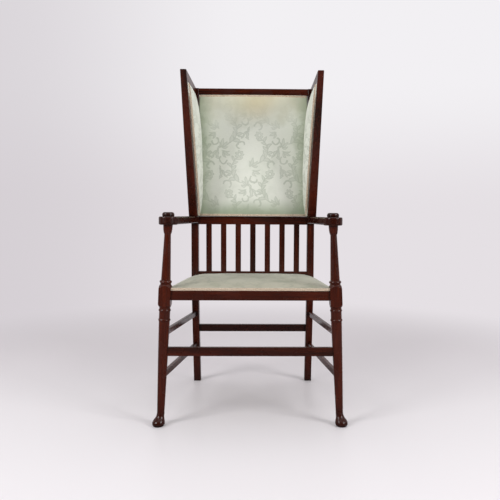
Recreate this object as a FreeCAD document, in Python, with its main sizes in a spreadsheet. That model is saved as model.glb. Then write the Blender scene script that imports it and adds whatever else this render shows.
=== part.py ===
import FreeCAD, Part
import os
import Sketcher

# Wing armchair: turned front posts, raked rear posts, flat arms, a slatted lower back, an upholstered
# upper back with two wings, and a stuffed seat. Millimetres, +Z up, the chair faces -Y, and right is +X,
# as seen from the front. Outlines are drawn with Y = 0 at the front posts' axis, and every piece's
# Placement then brings the origin to the floor, under the middle of the chair.

os.makedirs("parts", exist_ok=True)
doc = FreeCAD.newDocument("WingArmchair")
sizes = doc.addObject("Spreadsheet::Sheet", "Sizes")
layout = doc.addObject("Spreadsheet::Sheet", "Layout")
aliases = {"Sizes": [], "Layout": []}
pieces = []


def fill_cell(sheet, alias, content):
    aliases[sheet.Name].append(alias)
    row = len(aliases[sheet.Name])
    sheet.set("A%d" % row, alias)
    sheet.set("B%d" % row, content)
    sheet.setAlias("B%d" % row, alias)


def worked(alias, formula, note):
    fill_cell(layout, alias, "=" + formula)
    layout.set("C%d" % len(aliases["Layout"]), note)


# Driving sizes in millimetres, angles in degrees
driving_sizes = {
    "back_height": 1170,  # floor to the top of posts and wings
    "arm_top": 672,  # floor to the top of the arms
    "arm_thickness": 26,  # arm board
    "side_rail_top": 421,  # floor to the top of the side seat rails
    "front_lip": 17,  # front seat rail's top above the side rails
    "rear_rail_rise": 35,  # rear seat rail's top above the side rails
    "front_foot_spread": 581,  # between the front posts' axes at the floor
    "front_lean": 2.6,  # degrees that the front posts lean in
    "rear_post_spread": 453,  # between the rear posts' middles
    "post_gap": 402,  # front posts' axis to the rear posts' front faces at the seat

    # Front posts
    "ankle_radius": 11.8,  # leg above the foot
    "ankle_step": 0.4,  # pad foot's top stands out of the leg
    "ankle_height": 46,  # where the leg's taper starts
    "leg_radius": 17.5,  # leg below the block
    "leg_swell": 0.7,  # how far the middle of the leg stands out of its straight taper
    "block_width": 38,  # square block that takes the seat rails
    "block_below": 37,  # block under the side rails' tops
    "block_above": 36,  # block over the side rails' tops
    "shoulder_radius": 17,  # where the block's turned shoulders start
    "shoulder_drop": 13,  # height of each turned shoulder
    "bead_radius": 19.4,  # outside of the turned beads
    "bead_height": 9,  # each bead
    "bead_step": 9,  # block's end to the middle of the bead beside it
    "bead_pitch": 31,  # between the two beads under the block
    "column_foot_radius": 15.1,  # column above the block
    "column_top_radius": 10.3,  # column below the collar
    "collar_radius": 15.2,  # collar under the arm
    "collar_height": 30,  # collar under the arm
    "tenon_radius": 9,  # round tenon through the arm
    "foot_radius": 20,  # pad foot
    "foot_height": 40,  # pad foot, up to the ankle
    "toe_out": 4.5,  # how far the pad stands out sideways
    "toe_forward": 8.5,  # how far the pad stands forward

    # Rear posts
    "post_width": 27,  # across the chair
    "post_depth": 32,  # at the seat
    "post_foot_depth": 27,  # at the floor
    "post_top_depth": 22,  # at the top
    "foot_rake": 63.5,  # how far the rear feet stand behind the seat
    "back_lean": 31.5,  # how far the top leans back
    "knee_height": 392,  # where the rear posts bend back to the floor
    "post_bend_radius": 320,  # curves of the rear posts at the seat and at the arms
    "arris_radius": 2.2,  # rounded long edges of posts and arms
    "small_arris_radius": 1.6,  # rounded long edges of rails and slats

    # Rails, slats and stretchers
    "front_rail_height": 30.5,  # front seat rail, lip included
    "front_rail_setback": 5,  # rail's face behind the block's face
    "rail_thickness": 24,  # seat rails
    "lip_thickness": 9,  # show-wood lip along the front rail
    "side_rail_height": 21,  # side seat rails
    "side_rail_thickness": 20,  # side seat rails
    "rear_rail_height": 49,  # rear seat rail
    "middle_rail_height": 31.5,  # rail between the arms' rear ends
    "top_rail_height": 25,  # top rail of the back
    "back_rail_thickness": 17,  # rails of the back
    "back_rail_setback": 2.5,  # back rails behind the posts' faces
    "tongue_length": 11,  # tenon of a rail or stretcher
    "tongue_thickness": 8,  # tenon of a rail or stretcher
    "tongue_shoulder": 5,  # tenon inside the rail's height, top and bottom
    "slat_count": 7,  # slats of the lower back
    "slat_width": 21.5,  # slat
    "slat_thickness": 10,  # slat
    "slat_pitch": 57.3,  # between slat middles
    "slat_housing": 9,  # slat's end inside each rail
    "stretcher_height": 28,  # front and rear stretchers
    "stretcher_thickness": 15,  # front and rear stretchers
    "front_stretcher_middle": 241,  # floor to the middle
    "rear_stretcher_middle": 224.5,  # floor to the middle
    "side_stretcher_height": 19,  # side stretchers
    "side_stretcher_thickness": 13,  # side stretchers
    "upper_stretcher_front": 299,  # floor to the middle, at the front post
    "upper_stretcher_rear": 285.5,  # floor to the middle, at the rear post
    "lower_stretcher_front": 162,  # floor to the middle, at the front post
    "lower_stretcher_rear": 154.5,  # floor to the middle, at the rear post

    # Arms and their buttons
    "arm_disc_radius": 30,  # round front end of the arm
    "arm_neck_width": 31,  # arm behind the disc
    "arm_rear_width": 34,  # arm at the rear post
    "arm_rear_middle": 224,  # middle of the chair to the arm's middle at the rear post
    "arm_neck_radius": 34,  # hollow curve between disc and arm
    "button_radius": 19.1,  # turned cap on the post's tenon
    "button_height": 13.8,  # turned cap
    "button_dome_radius": 7.5,  # upper rounding of the cap
    "button_foot_radius": 3,  # lower rounding of the cap
    "tenon_in_button": 7,  # post's tenon inside the cap

    # Wings
    "wing_depth_top": 275,  # front of the wing to the rear post, at the top
    "wing_depth_bottom": 62,  # front of the wing to the rear post, on the arm
    "stile_inner_top": 223.8,  # middle of the chair to the stile, at the top
    "stile_inner_bottom": 208,  # middle of the chair to the stile, on the arm
    "stile_width_top": 21.2,  # stile
    "stile_width_bottom": 33.5,  # stile
    "stile_depth": 25,  # stile, front to back
    "stile_arris_radius": 4,  # rounded long edges of the stile
    "stile_dowel_radius": 5,  # dowel from the stile into the arm
    "stile_dowel_length": 15,  # dowel inside the arm
    "wing_rail_height": 30.5,  # top rail of the wing
    "wing_rail_thickness": 16,  # top rail of the wing
    "wing_base_height": 14,  # inner rail that stands on the arm
    "wing_stuffing": 24,  # wing pad proud of its frame
    "wing_pad_edge": 6,  # wing pad proud of its frame at its edges
    "wing_pad_depth": 10,  # wing pad inside its frame
    "wing_cover_gap": 2.5,  # wing pad to the outer cover

    # Upholstery
    "cover_thickness": 1.5,  # outer covers
    "webbing_thickness": 1.2,  # webbing
    "webbing_width": 50,  # webbing
    "back_stuffing": 24,  # back pad proud of the posts' faces in the middle
    "back_pad_edge": 5,  # back pad proud of the posts' faces at its edges
    "back_pad_depth": 14,  # back pad behind the posts' faces
    "seat_crown": 43,  # top of the seat pad over the side rails, in the middle
    "seat_crown_front": 28.5,  # top of the seat pad over the side rails, at the front edge
    "seat_crown_rear": 29,  # top of the seat pad over the side rails, at the rear edge
    "seat_side_edge": 10,  # upright side edge of the seat pad
    "gimp_width": 10.5,  # braid along the upholstery's edges
    "gimp_thickness": 1.5,  # braid along the upholstery's edges
    "fit_gap": 0.3,  # soft pieces to the wood beside them
    "corner_block_leg": 46,  # corner block along each rail
    "corner_block_height": 13,  # corner block
}
for alias, value in driving_sizes.items():
    fill_cell(sizes, alias, str(value))
doc.recompute()

# Worked-out places, all from the sizes above
worked("front_rail_top", "Sizes.side_rail_top + Sizes.front_lip", "floor to the top of the front rail's lip")
worked("rear_rail_top", "Sizes.side_rail_top + Sizes.rear_rail_rise", "floor to the top of the rear rail")
worked("block_bottom", "Sizes.side_rail_top - Sizes.block_below", "floor to the block")
worked("block_top", "Sizes.side_rail_top + Sizes.block_above", "floor to the block's top")
worked("front_reach", "max(Sizes.arm_disc_radius; Sizes.foot_radius + Sizes.toe_forward)", "frontmost point")
worked("rear_reach", "Sizes.post_gap + Sizes.foot_rake + Sizes.post_foot_depth", "rearmost point")
worked("front_x_floor", "Sizes.front_foot_spread / 2", "front post's axis at the floor")
worked("rear_x", "Sizes.rear_post_spread / 2", "rear post's middle")
worked("block_half", "Sizes.block_width / 2", "half the block")
worked("post_inner", "(Sizes.rear_post_spread - Sizes.post_width) / 2", "rear post's inner face")
worked("arm_bottom", "Sizes.arm_top - Sizes.arm_thickness", "underside of the arms")
worked("lean_span", "Sizes.back_height - Sizes.arm_top", "height over which the back leans")
worked("top_rail_bottom", "Sizes.back_height - Sizes.top_rail_height", "underside of the top rail")
worked("wing_rail_bottom", "Sizes.back_height - Sizes.wing_rail_height", "underside of the wing's rail")
worked("front_rail_face", "Sizes.front_rail_setback - Sizes.block_width / 2", "front rail's face")
worked("back_rail_face", "Sizes.post_gap + Sizes.back_rail_setback", "rear rail's and middle rail's faces")
worked("stile_front_bottom", "Sizes.post_gap - Sizes.wing_depth_bottom", "stile's front on the arm")
worked("wing_base_top", "Sizes.arm_top + Sizes.wing_base_height", "top of the wing's inner rail")
doc.recompute()
worked("floor_shift", "(rear_reach - front_reach) / 2", "front posts' axis to the origin")
worked("stile_front_top", "Sizes.post_gap + Sizes.back_lean - Sizes.wing_depth_top",
       "stile's front at the top")
worked("axis_slope", "tan(Sizes.front_lean)", "front post's sideways run for each millimetre up")
doc.recompute()


def number(expression):
    return float(layout.evalExpression(expression))


def at_height(bottom, top, height):
    # A value that runs evenly from the arm's top to the top of the back
    share = "((%s) - Sizes.arm_top) / Layout.lean_span" % height
    return "((%s) + ((%s) - (%s)) * %s)" % (bottom, top, bottom, share)


def back_face(height):
    return at_height("Sizes.post_gap", "Sizes.post_gap + Sizes.back_lean", height)


def wing_plane(height):
    return at_height("Sizes.stile_inner_bottom", "Sizes.stile_inner_top", height)


def stile_back(height):
    return at_height("Layout.stile_front_bottom", "Layout.stile_front_top", height) + " + Sizes.stile_depth"


def front_axis_x(height):
    return "(Layout.front_x_floor - (%s) * Layout.axis_slope)" % height


def leg_rake(height):
    return "(Sizes.foot_rake * (1 - (%s) / Sizes.knee_height))" % height


def place(thing, x="0", y="0", z="0"):
    thing.setExpression("Placement.Base.x", x)
    thing.setExpression("Placement.Base.y", "(%s) - Layout.floor_shift" % y)
    thing.setExpression("Placement.Base.z", z)


def turn(thing, axis, angle):
    thing.Placement.Rotation = FreeCAD.Rotation(axis, number(angle))
    thing.setExpression("Placement.Rotation.Angle", angle)


def new_body(name, x="0", y="0", z="0"):
    body = doc.addObject("PartDesign::Body", name)
    place(body, x, y, z)
    return body


def outline(body, name, role, corners, lift="0"):
    # A closed outline on one of the body's own planes, each corner held by two expressions
    sketch = body.newObject("Sketcher::SketchObject", name)
    plane = [feature for feature in body.Origin.OriginFeatures if feature.Role == role][0]
    sketch.AttachmentSupport = (plane, [""])
    sketch.MapMode = "FlatFace"
    sketch.setExpression("AttachmentOffset.Base.z", lift)
    points = [FreeCAD.Vector(number(across), number(up), 0) for across, up in corners]
    count = len(points)
    for index, point in enumerate(points):
        sketch.addGeometry(Part.LineSegment(point, points[(index + 1) % count]), False)
    for index in range(count):
        sketch.addConstraint(Sketcher.Constraint("Coincident", index, 2, (index + 1) % count, 1))
    for index, corner in enumerate(corners):
        for kind, expression in zip(("DistanceX", "DistanceY"), corner):
            datum = Sketcher.Constraint(kind, -1, 1, index, 1, number(expression))
            sketch.setExpression("Constraints[%d]" % sketch.addConstraint(datum), expression)
    return sketch


def pad(body, sketch, length, symmetric=True):
    feature = body.newObject("PartDesign::Pad", body.Name + "Pad")
    feature.Profile = sketch
    feature.SideType = "Symmetric" if symmetric else "One side"
    feature.setExpression("Length", length)
    sketch.Visibility = False
    return feature


def revolve(body, sketch):
    feature = body.newObject("PartDesign::Revolution", body.Name + "Revolution")
    feature.Profile = sketch
    feature.ReferenceAxis = (sketch, ["V_Axis"])
    feature.Angle = 360
    return feature


def round_edges(body, base, radius, wanted):
    # Rounds the edges that the test wanted(edge) picks
    doc.recompute()
    names = ["Edge%d" % (index + 1) for index, edge in enumerate(base.Shape.Edges) if wanted(edge)]
    feature = body.newObject("PartDesign::Fillet", body.Name + "Fillet")
    feature.Base = (base, names)
    feature.setExpression("Radius", radius)
    return feature


def longer_than(expression):
    return lambda edge: edge.Length > number(expression)


def boolean(kind, name, base, tool):
    feature = doc.addObject("Part::" + kind, name)
    feature.Base = base
    feature.Tool = tool
    return feature


def fuse(name, shapes):
    feature = doc.addObject("Part::MultiFuse", name)
    feature.Shapes = shapes
    feature.Refine = True
    return feature


def group(name, shapes):
    feature = doc.addObject("Part::Compound", name)
    feature.Links = shapes
    return feature


def mirrored(name, source):
    feature = doc.addObject("Part::Mirroring", name)
    feature.Source = source
    feature.Normal = (1, 0, 0)
    return feature


def solid(name, shape):
    # A soft form that is set by its own shape; its Placement comes after the Shape
    feature = doc.addObject("Part::Feature", name)
    feature.Shape = shape
    place(feature)
    return feature


def keep(thing, label):
    thing.Label = label
    pieces.append(thing)
    return thing


def keep_pair(thing, label):
    return [keep(thing, label + "_right"), keep(mirrored(thing.Name + "Left", thing), label + "_left")]


def front_post(side, hand):
    # The turned parts share one axis that leans in; the pad foot stands upright around its bottom.
    # hand is 1 for the right post and -1 for the left
    turned = new_body("FrontTurning" + side)
    lower_bead = "Layout.block_bottom - Sizes.bead_step"
    upper_bead = "Layout.block_top + Sizes.bead_step"
    leg_middle = "(Sizes.ankle_height + Layout.block_bottom) / 2"
    leg_middle_radius = "(Sizes.ankle_radius + Sizes.leg_radius) / 2 + Sizes.leg_swell"
    collar_bottom = "Layout.arm_bottom - Sizes.collar_height"
    neck_radius = "(Sizes.column_top_radius + Sizes.collar_radius) / 2"
    overlap = "1.5"
    leg = outline(turned, "LegOutline" + side, "XZ_Plane", [
        ("0", "Sizes.foot_height - " + overlap),
        ("Sizes.ankle_radius", "Sizes.foot_height - " + overlap),
        ("Sizes.ankle_radius", "Sizes.ankle_height"),
        (leg_middle_radius, leg_middle),
        ("Sizes.leg_radius", lower_bead + " - Sizes.bead_pitch"),
        ("Sizes.leg_radius", "Layout.block_bottom + " + overlap),
        ("0", "Layout.block_bottom + " + overlap)])
    revolve(turned, leg)
    column = new_body("Column" + side)
    shaft = outline(column, "ColumnOutline" + side, "XZ_Plane", [
        ("0", "Layout.block_top - " + overlap),
        ("Sizes.shoulder_radius", "Layout.block_top - " + overlap),
        ("Sizes.shoulder_radius", upper_bead),
        ("Sizes.column_foot_radius", upper_bead + " + Sizes.bead_height / 2"),
        ("Sizes.column_top_radius", collar_bottom),
        (neck_radius, collar_bottom + " + Sizes.collar_height * 0.22"),
        ("Sizes.collar_radius - 1", collar_bottom + " + Sizes.collar_height * 0.55"),
        ("Sizes.collar_radius", "Layout.arm_bottom + " + overlap),
        ("Sizes.tenon_radius", "Layout.arm_bottom + " + overlap),
        ("Sizes.tenon_radius", "Sizes.arm_top + Sizes.tenon_in_button"),
        ("0", "Sizes.arm_top + Sizes.tenon_in_button")])
    revolve(column, shaft)
    square = new_body("Block" + side)
    section = outline(square, "BlockOutline" + side, "XY_Plane", [
        ("-Layout.block_half", "-Layout.block_half"),
        ("Layout.block_half", "-Layout.block_half"),
        ("Layout.block_half", "Layout.block_half"),
        ("-Layout.block_half", "Layout.block_half")], "Layout.block_bottom")
    pad(square, section, "Layout.block_top - Layout.block_bottom", symmetric=False)
    shoulders = new_body("Shoulders" + side)
    barrel_radius = "Sizes.block_width * 0.75"
    barrel = outline(shoulders, "ShoulderOutline" + side, "XZ_Plane", [
        ("0", "Layout.block_bottom"),
        ("Sizes.shoulder_radius", "Layout.block_bottom"),
        (barrel_radius, "Layout.block_bottom + Sizes.shoulder_drop"),
        (barrel_radius, "Layout.block_top - Sizes.shoulder_drop"),
        ("Sizes.shoulder_radius", "Layout.block_top"),
        ("0", "Layout.block_top")])
    revolve(shoulders, barrel)
    block = boolean("Common", "TurnedBlock" + side, square, shoulders)
    beads = []
    for index, height in enumerate((lower_bead, lower_bead + " - Sizes.bead_pitch", upper_bead)):
        bead = doc.addObject("Part::Torus", "Bead%s%d" % (side, index))
        bead.setExpression("Radius2", "Sizes.bead_height / 2")
        bead.setExpression("Radius1", "Sizes.bead_radius - Sizes.bead_height / 2")
        place(bead, z=height)
        beads.append(bead)
    leaning = fuse("LeaningPost" + side, [turned, column, block] + beads)
    turn(leaning, FreeCAD.Vector(0, 1, 0), "%d * Sizes.front_lean" % -hand)
    leaning.setExpression("Placement.Base.x", "%d * Layout.front_x_floor" % hand)
    return fuse("FrontPost" + side, [leaning, pad_foot(side, hand)])


def pad_foot(side, hand):
    # Level rings from the floor up: share of the height, share of the radius, share of the toe's offset
    profile = ((0, 0.74, 1), (0.1, 0.93, 1), (0.28, 1, 1), (0.46, 0.9, 0.84), (0.64, 0.72, 0.45),
               (0.82, 0.62, 0.14))
    rings = []
    for index, (rise, girth, reach) in enumerate(profile):
        ring = doc.addObject("Part::Circle", "FootRing%s%d" % (side, index))
        ring.setExpression("Radius", "Sizes.foot_radius * %g" % girth)
        height = "Sizes.foot_height * %g" % rise
        out = "%d * (%s + Sizes.toe_out * %g)" % (hand, front_axis_x(height), reach)
        place(ring, out, "-Sizes.toe_forward * %g" % reach, height)
        rings.append(ring)
    ankle = doc.addObject("Part::Circle", "AnkleRing" + side)
    ankle.setExpression("Radius", "Sizes.ankle_radius + Sizes.ankle_step")
    place(ankle, "%d * %s" % (hand, front_axis_x("Sizes.foot_height")), "0", "Sizes.foot_height")
    foot = doc.addObject("Part::Loft", "PadFoot" + side)
    foot.Sections = rings + [ankle]
    foot.Solid = True
    foot.Ruled = False
    return foot


def rear_post():
    # Sawn in one piece: raked below the knee, upright between seat and arm, leaning back above
    body = new_body("RearPost", "Layout.rear_x")
    face = "Sizes.post_gap"
    top_face = "Sizes.post_gap + Sizes.back_lean"
    profile = outline(body, "RearPostOutline", "YZ_Plane", [
        (face + " + Sizes.foot_rake", "0"),
        (face, "Sizes.knee_height"),
        (face, "Sizes.arm_top"),
        (top_face, "Sizes.back_height"),
        (top_face + " + Sizes.post_top_depth", "Sizes.back_height"),
        (face + " + Sizes.post_depth", "Sizes.arm_top"),
        (face + " + Sizes.post_depth", "Sizes.knee_height"),
        (face + " + Sizes.foot_rake + Sizes.post_foot_depth", "0")])
    sawn = pad(body, profile, "Sizes.post_width")

    def crosses_at_a_bend(edge):
        box = edge.BoundBox
        bends = (number("Sizes.knee_height"), number("Sizes.arm_top"))
        return box.ZLength < 0.01 and box.XLength > 1 and min(abs(box.ZMin - bend) for bend in bends) < 0.01

    bent = round_edges(body, sawn, "Sizes.post_bend_radius", crosses_at_a_bend)
    round_edges(body, bent, "Sizes.arris_radius", lambda edge: edge.BoundBox.ZLength > 5)
    return body


def cross_rail(name, section, half_length):
    # A rail across the chair, from its section in the YZ plane
    body = new_body(name)
    bar = pad(body, outline(body, name + "Section", "YZ_Plane", section), "2 * (%s)" % half_length)
    round_edges(body, bar, "Sizes.small_arris_radius", longer_than("Sizes.rear_post_spread / 2"))
    return body


def rectangle(low_across, low_up, across, up):
    high_across = "%s + (%s)" % (low_across, across)
    high_up = "%s + (%s)" % (low_up, up)
    return [(low_across, low_up), (high_across, low_up), (high_across, high_up), (low_across, high_up)]


def joined(name, bar, tongue_section, tongue_half_length, posts):
    # The bar's shoulders follow the posts, and its thinner tongues go into them
    shouldered = boolean("Cut", name + "Shouldered", bar, posts)
    body = new_body(name + "Tongue")
    section = outline(body, name + "TongueSection", "YZ_Plane", tongue_section)
    pad(body, section, "2 * (%s)" % tongue_half_length)
    return fuse(name + "Joined", [shouldered, body])


def cross_member(name, face, bottom, thickness, height, end, tongue_end, posts, tongue_face=None):
    bar = cross_rail(name, rectangle(face, bottom, thickness, height), end)
    tongue_low = tongue_face or "%s + (%s - Sizes.tongue_thickness) / 2" % (face, thickness)
    tongue = rectangle(tongue_low, bottom + " + Sizes.tongue_shoulder", "Sizes.tongue_thickness",
                       height + " - 2 * Sizes.tongue_shoulder")
    return joined(name, bar, tongue, tongue_end, posts)


def side_member(name, front_middle, rear_middle, height, thickness, posts):
    # Runs from the front post's axis to the rear post's middle, in its own frame along local X
    across = "(%s - Layout.rear_x)" % front_axis_x(front_middle)
    along = "(Sizes.post_gap + %s + Sizes.post_depth / 2)" % (
        leg_rake("min(%s; Sizes.knee_height)" % rear_middle))
    length = "sqrt(%s ^ 2 + %s ^ 2)" % (across, along)
    bearing = "90 + atan(%s / %s) / (1 deg)" % (across, along)
    shapes = []
    for part, start, inset, width in (
            ("Bar", "0", "0", thickness),
            ("Tongue", "Layout.block_half - Sizes.tongue_length", "3", "Sizes.tongue_thickness")):
        body = new_body(name + part, front_axis_x(front_middle))
        turn(body, FreeCAD.Vector(0, 0, 1), bearing)
        stop = length if part == "Bar" else "%s - Sizes.post_depth / 2 + Sizes.tongue_length" % length
        half = "((%s) / 2 - (%s))" % (height, inset)
        bar = pad(body, outline(body, name + part + "Outline", "XZ_Plane", [
            (start, "%s - %s" % (front_middle, half)),
            (stop, "%s - %s" % (rear_middle, half)),
            (stop, "%s + %s" % (rear_middle, half)),
            (start, "%s + %s" % (front_middle, half))]), width)
        if part == "Bar":
            round_edges(body, bar, "Sizes.small_arris_radius", longer_than("Sizes.post_gap / 2"))
        shapes.append(body)
    shouldered = boolean("Cut", name + "Shouldered", shapes[0], posts)
    return fuse(name + "Joined", [shouldered, shapes[1]])


def slats(bottom_rail_top):
    # Housed in the middle rail above and the rear seat rail below
    made = []
    first = "-(Sizes.slat_count - 1) / 2"
    middle = "Layout.back_rail_face + Sizes.back_rail_thickness / 2"
    length = "Sizes.arm_top - Sizes.middle_rail_height - %s + 2 * Sizes.slat_housing" % bottom_rail_top
    for index in range(int(number("Sizes.slat_count"))):
        body = new_body("Slat%d" % (index + 1), "(%s + %d) * Sizes.slat_pitch" % (first, index), middle,
                        "%s - Sizes.slat_housing" % bottom_rail_top)
        section = outline(body, "SlatSection%d" % index, "XY_Plane",
                          rectangle("-Sizes.slat_width / 2", "-Sizes.slat_thickness / 2",
                                    "Sizes.slat_width", "Sizes.slat_thickness"))
        bar = pad(body, section, length, symmetric=False)
        round_edges(body, bar, "Sizes.small_arris_radius", longer_than("Sizes.slat_width * 2"))
        made.append(keep(body, "back_slat_%d" % (index + 1)))
    return made


def arm(front_posts, rear_posts, stile):
    # A flat board with a round paddle end over the post, hollowed behind it, tongued into the rear post
    board = new_body("ArmBoard", z="Layout.arm_bottom")
    disc_x = front_axis_x("Sizes.arm_top")
    rear_y = "Sizes.post_gap + Sizes.post_depth / 2"
    bar = pad(board, outline(board, "ArmOutline", "XY_Plane", [
        (disc_x + " - Sizes.arm_neck_width / 2", "0"),
        (disc_x + " + Sizes.arm_neck_width / 2", "0"),
        ("Sizes.arm_rear_middle + Sizes.arm_rear_width / 2", rear_y),
        ("Sizes.arm_rear_middle - Sizes.arm_rear_width / 2", rear_y)]),
        "Sizes.arm_thickness", symmetric=False)
    disc = board.newObject("PartDesign::AdditiveCylinder", "ArmDisc")
    disc.setExpression("Radius", "Sizes.arm_disc_radius")
    disc.setExpression("Height", "Sizes.arm_thickness")
    disc.Placement.Base = FreeCAD.Vector(number(disc_x), 0, 0)
    disc.setExpression("Placement.Base.x", disc_x)
    hollow_zone = "Sizes.arm_disc_radius + 2"

    def is_hollow(edge):
        box = edge.BoundBox
        return box.XLength < 0.01 and box.YLength < 0.01 and 1 < box.YMax < number(hollow_zone)

    hollowed = round_edges(board, disc, "Sizes.arm_neck_radius", is_hollow)

    def is_arris(edge):
        box = edge.BoundBox
        return box.ZLength < 0.01 and box.YMin < number("Sizes.post_gap")

    round_edges(board, hollowed, "Sizes.arris_radius * 2", is_arris)
    shouldered = boolean("Cut", "ArmShouldered", board, rear_posts)
    tongue = new_body("ArmTongue", z="Layout.arm_bottom + Sizes.tongue_shoulder")
    tongue_outline = outline(tongue, "ArmTongueOutline", "XY_Plane", rectangle(
        "Layout.rear_x - Sizes.tongue_thickness / 2", "Sizes.post_gap - Sizes.tongue_length",
        "Sizes.tongue_thickness", "Sizes.tongue_length * 2 - 1"))
    pad(tongue, tongue_outline, "Sizes.arm_thickness - 2 * Sizes.tongue_shoulder", symmetric=False)
    tongued = fuse("ArmTongued", [shouldered, tongue])
    return boolean("Cut", "Arm", tongued, group("InArm", [front_posts, stile]))


def arm_button(front_posts):
    body = new_body("ArmButton", front_axis_x("Sizes.arm_top"), "0", "Sizes.arm_top")
    knob = revolve(body, outline(body, "ButtonOutline", "XZ_Plane", [
        ("0", "0"), ("Sizes.button_radius", "0"),
        ("Sizes.button_radius", "Sizes.button_height"), ("0", "Sizes.button_height")]))

    def is_rim(edge, high):
        box = edge.BoundBox
        is_high = box.ZMin > number("Sizes.button_height") / 2
        return box.ZLength < 0.01 and box.XLength > 1 and is_high == high

    domed = round_edges(body, knob, "Sizes.button_dome_radius", lambda edge: is_rim(edge, True))
    round_edges(body, domed, "Sizes.button_foot_radius", lambda edge: is_rim(edge, False))
    return boolean("Cut", "Button", body, front_posts)


def wing_stile():
    # Tapered as seen from the front and raked forward as seen from the side, with a dowel into the arm
    raked = new_body("StileRake")
    pad(raked, outline(raked, "StileRakeOutline", "YZ_Plane", [
        ("Layout.stile_front_bottom", "Sizes.arm_top"),
        ("Layout.stile_front_bottom + Sizes.stile_depth", "Sizes.arm_top"),
        ("Layout.stile_front_top + Sizes.stile_depth", "Sizes.back_height"),
        ("Layout.stile_front_top", "Sizes.back_height")]), "Layout.front_x_floor * 2")
    tapered = new_body("StileTaper")
    pad(tapered, outline(tapered, "StileTaperOutline", "XZ_Plane", [
        ("Sizes.stile_inner_bottom", "Sizes.arm_top"),
        ("Sizes.stile_inner_bottom + Sizes.stile_width_bottom", "Sizes.arm_top"),
        ("Sizes.stile_inner_top + Sizes.stile_width_top", "Sizes.back_height"),
        ("Sizes.stile_inner_top", "Sizes.back_height")]), "Layout.rear_reach * 2")
    square = boolean("Common", "StileSquare", raked, tapered)
    doc.recompute()
    rounded = doc.addObject("Part::Fillet", "StileRounded")
    rounded.Base = square
    radius = number("Sizes.stile_arris_radius")
    long_edge = longer_than("Layout.lean_span / 2")
    numbered = enumerate(square.Shape.Edges, 1)
    rounded.Edges = [(index, radius, radius) for index, edge in numbered if long_edge(edge)]
    dowel = doc.addObject("Part::Cylinder", "StileDowel")
    dowel.setExpression("Radius", "Sizes.stile_dowel_radius")
    dowel.setExpression("Height", "2 * Sizes.stile_dowel_length")
    place(dowel, "Sizes.stile_inner_bottom + Sizes.stile_width_bottom / 2",
          "Layout.stile_front_bottom + Sizes.stile_depth / 2 - 2", "Sizes.arm_top - Sizes.stile_dowel_length")
    return fuse("WingStileDowelled", [rounded, dowel])


def wing_rail(name, bottom, top, inner, thickness, posts, stile):
    # A rail of the wing's frame along Y, from the stile to the rear post, with a thin tongue at each end
    shapes = []
    for part, inset, reach in (("Bar", "0", "10"), ("Tongue", "Sizes.tongue_thickness / 2", "7")):
        body = new_body(name + part, "(%s) + (%s) / 2" % (inner, thickness))
        low = "%s + %s" % (bottom, inset)
        high = "%s - %s" % (top, inset)
        bar = pad(body, outline(body, name + part + "Outline", "YZ_Plane", [
            (stile_back(low) + " - " + reach, low),
            (back_face(low) + " + " + reach, low),
            (back_face(high) + " + " + reach, high),
            (stile_back(high) + " - " + reach, high)]), "%s - 2 * (%s)" % (thickness, inset))
        shapes.append(body)
    shouldered = boolean("Cut", name + "Shouldered", shapes[0], group(name + "Ends", [posts, stile]))
    return fuse(name + "Joined", [shouldered, shapes[1]])


def slice_wire(points):
    # Straight between two points, and an arc where a pair is joined by a point in between
    edges = []
    for start, through, end in points:
        if through is None:
            edges.append(Part.LineSegment(start, end).toShape())
        else:
            edges.append(Part.Arc(start, through, end).toShape())
    return Part.Wire(edges)


def spot(x, y, z):
    return FreeCAD.Vector(x, y, z)


def wing_pad():
    # Level slices from the arm to the wing's rail; each is flat outside and swells towards the sitter
    gap = number("Sizes.fit_gap")
    bottom = number("Sizes.arm_top") + gap
    top = number("Layout.wing_rail_bottom") - gap
    wires = []
    for share, fullness in ((0, 0.1), (0.12, 0.62), (0.5, 1), (0.88, 0.7), (1, 0.1)):
        height = bottom + (top - bottom) * share
        level = "%.6f" % height
        front = number(stile_back(level)) + gap
        rear = number(back_face(level)) - gap
        outer = number(wing_plane(level)) + number("Sizes.wing_pad_depth")
        edge = number(wing_plane(level)) - number("Sizes.wing_pad_edge") * fullness
        swell = number(wing_plane(level)) - number("Sizes.wing_stuffing") * fullness
        middle = front + (rear - front) * 0.6
        corners = [spot(outer, front, height), spot(outer, rear, height), spot(edge, rear, height),
                   spot(edge, front, height)]
        wires.append(slice_wire([
            (corners[0], None, corners[1]),
            (corners[1], None, corners[2]),
            (corners[2], spot(swell, middle, height), corners[3]),
            (corners[3], None, corners[0])]))
    return solid("WingPad", Part.makeLoft(wires, True, False))


def wing_cover():
    # A flat panel outside the wing pad, in the frame's opening
    gap = number("Sizes.fit_gap")
    bottom = number("Layout.wing_base_top") + gap
    top = number("Layout.wing_rail_bottom") - gap
    wires = []
    for height in (bottom, top):
        level = "%.6f" % height
        inner = number(wing_plane(level)) + number("Sizes.wing_pad_depth + Sizes.wing_cover_gap")
        outer = inner + number("Sizes.cover_thickness")
        front = number(stile_back(level)) + gap
        rear = number(back_face(level)) - gap
        corners = [spot(inner, front, height), spot(outer, front, height), spot(outer, rear, height),
                   spot(inner, rear, height)]
        wires.append(Part.makePolygon(corners + corners[:1]))
    return solid("WingCover", Part.makeLoft(wires, True, True))


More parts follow.
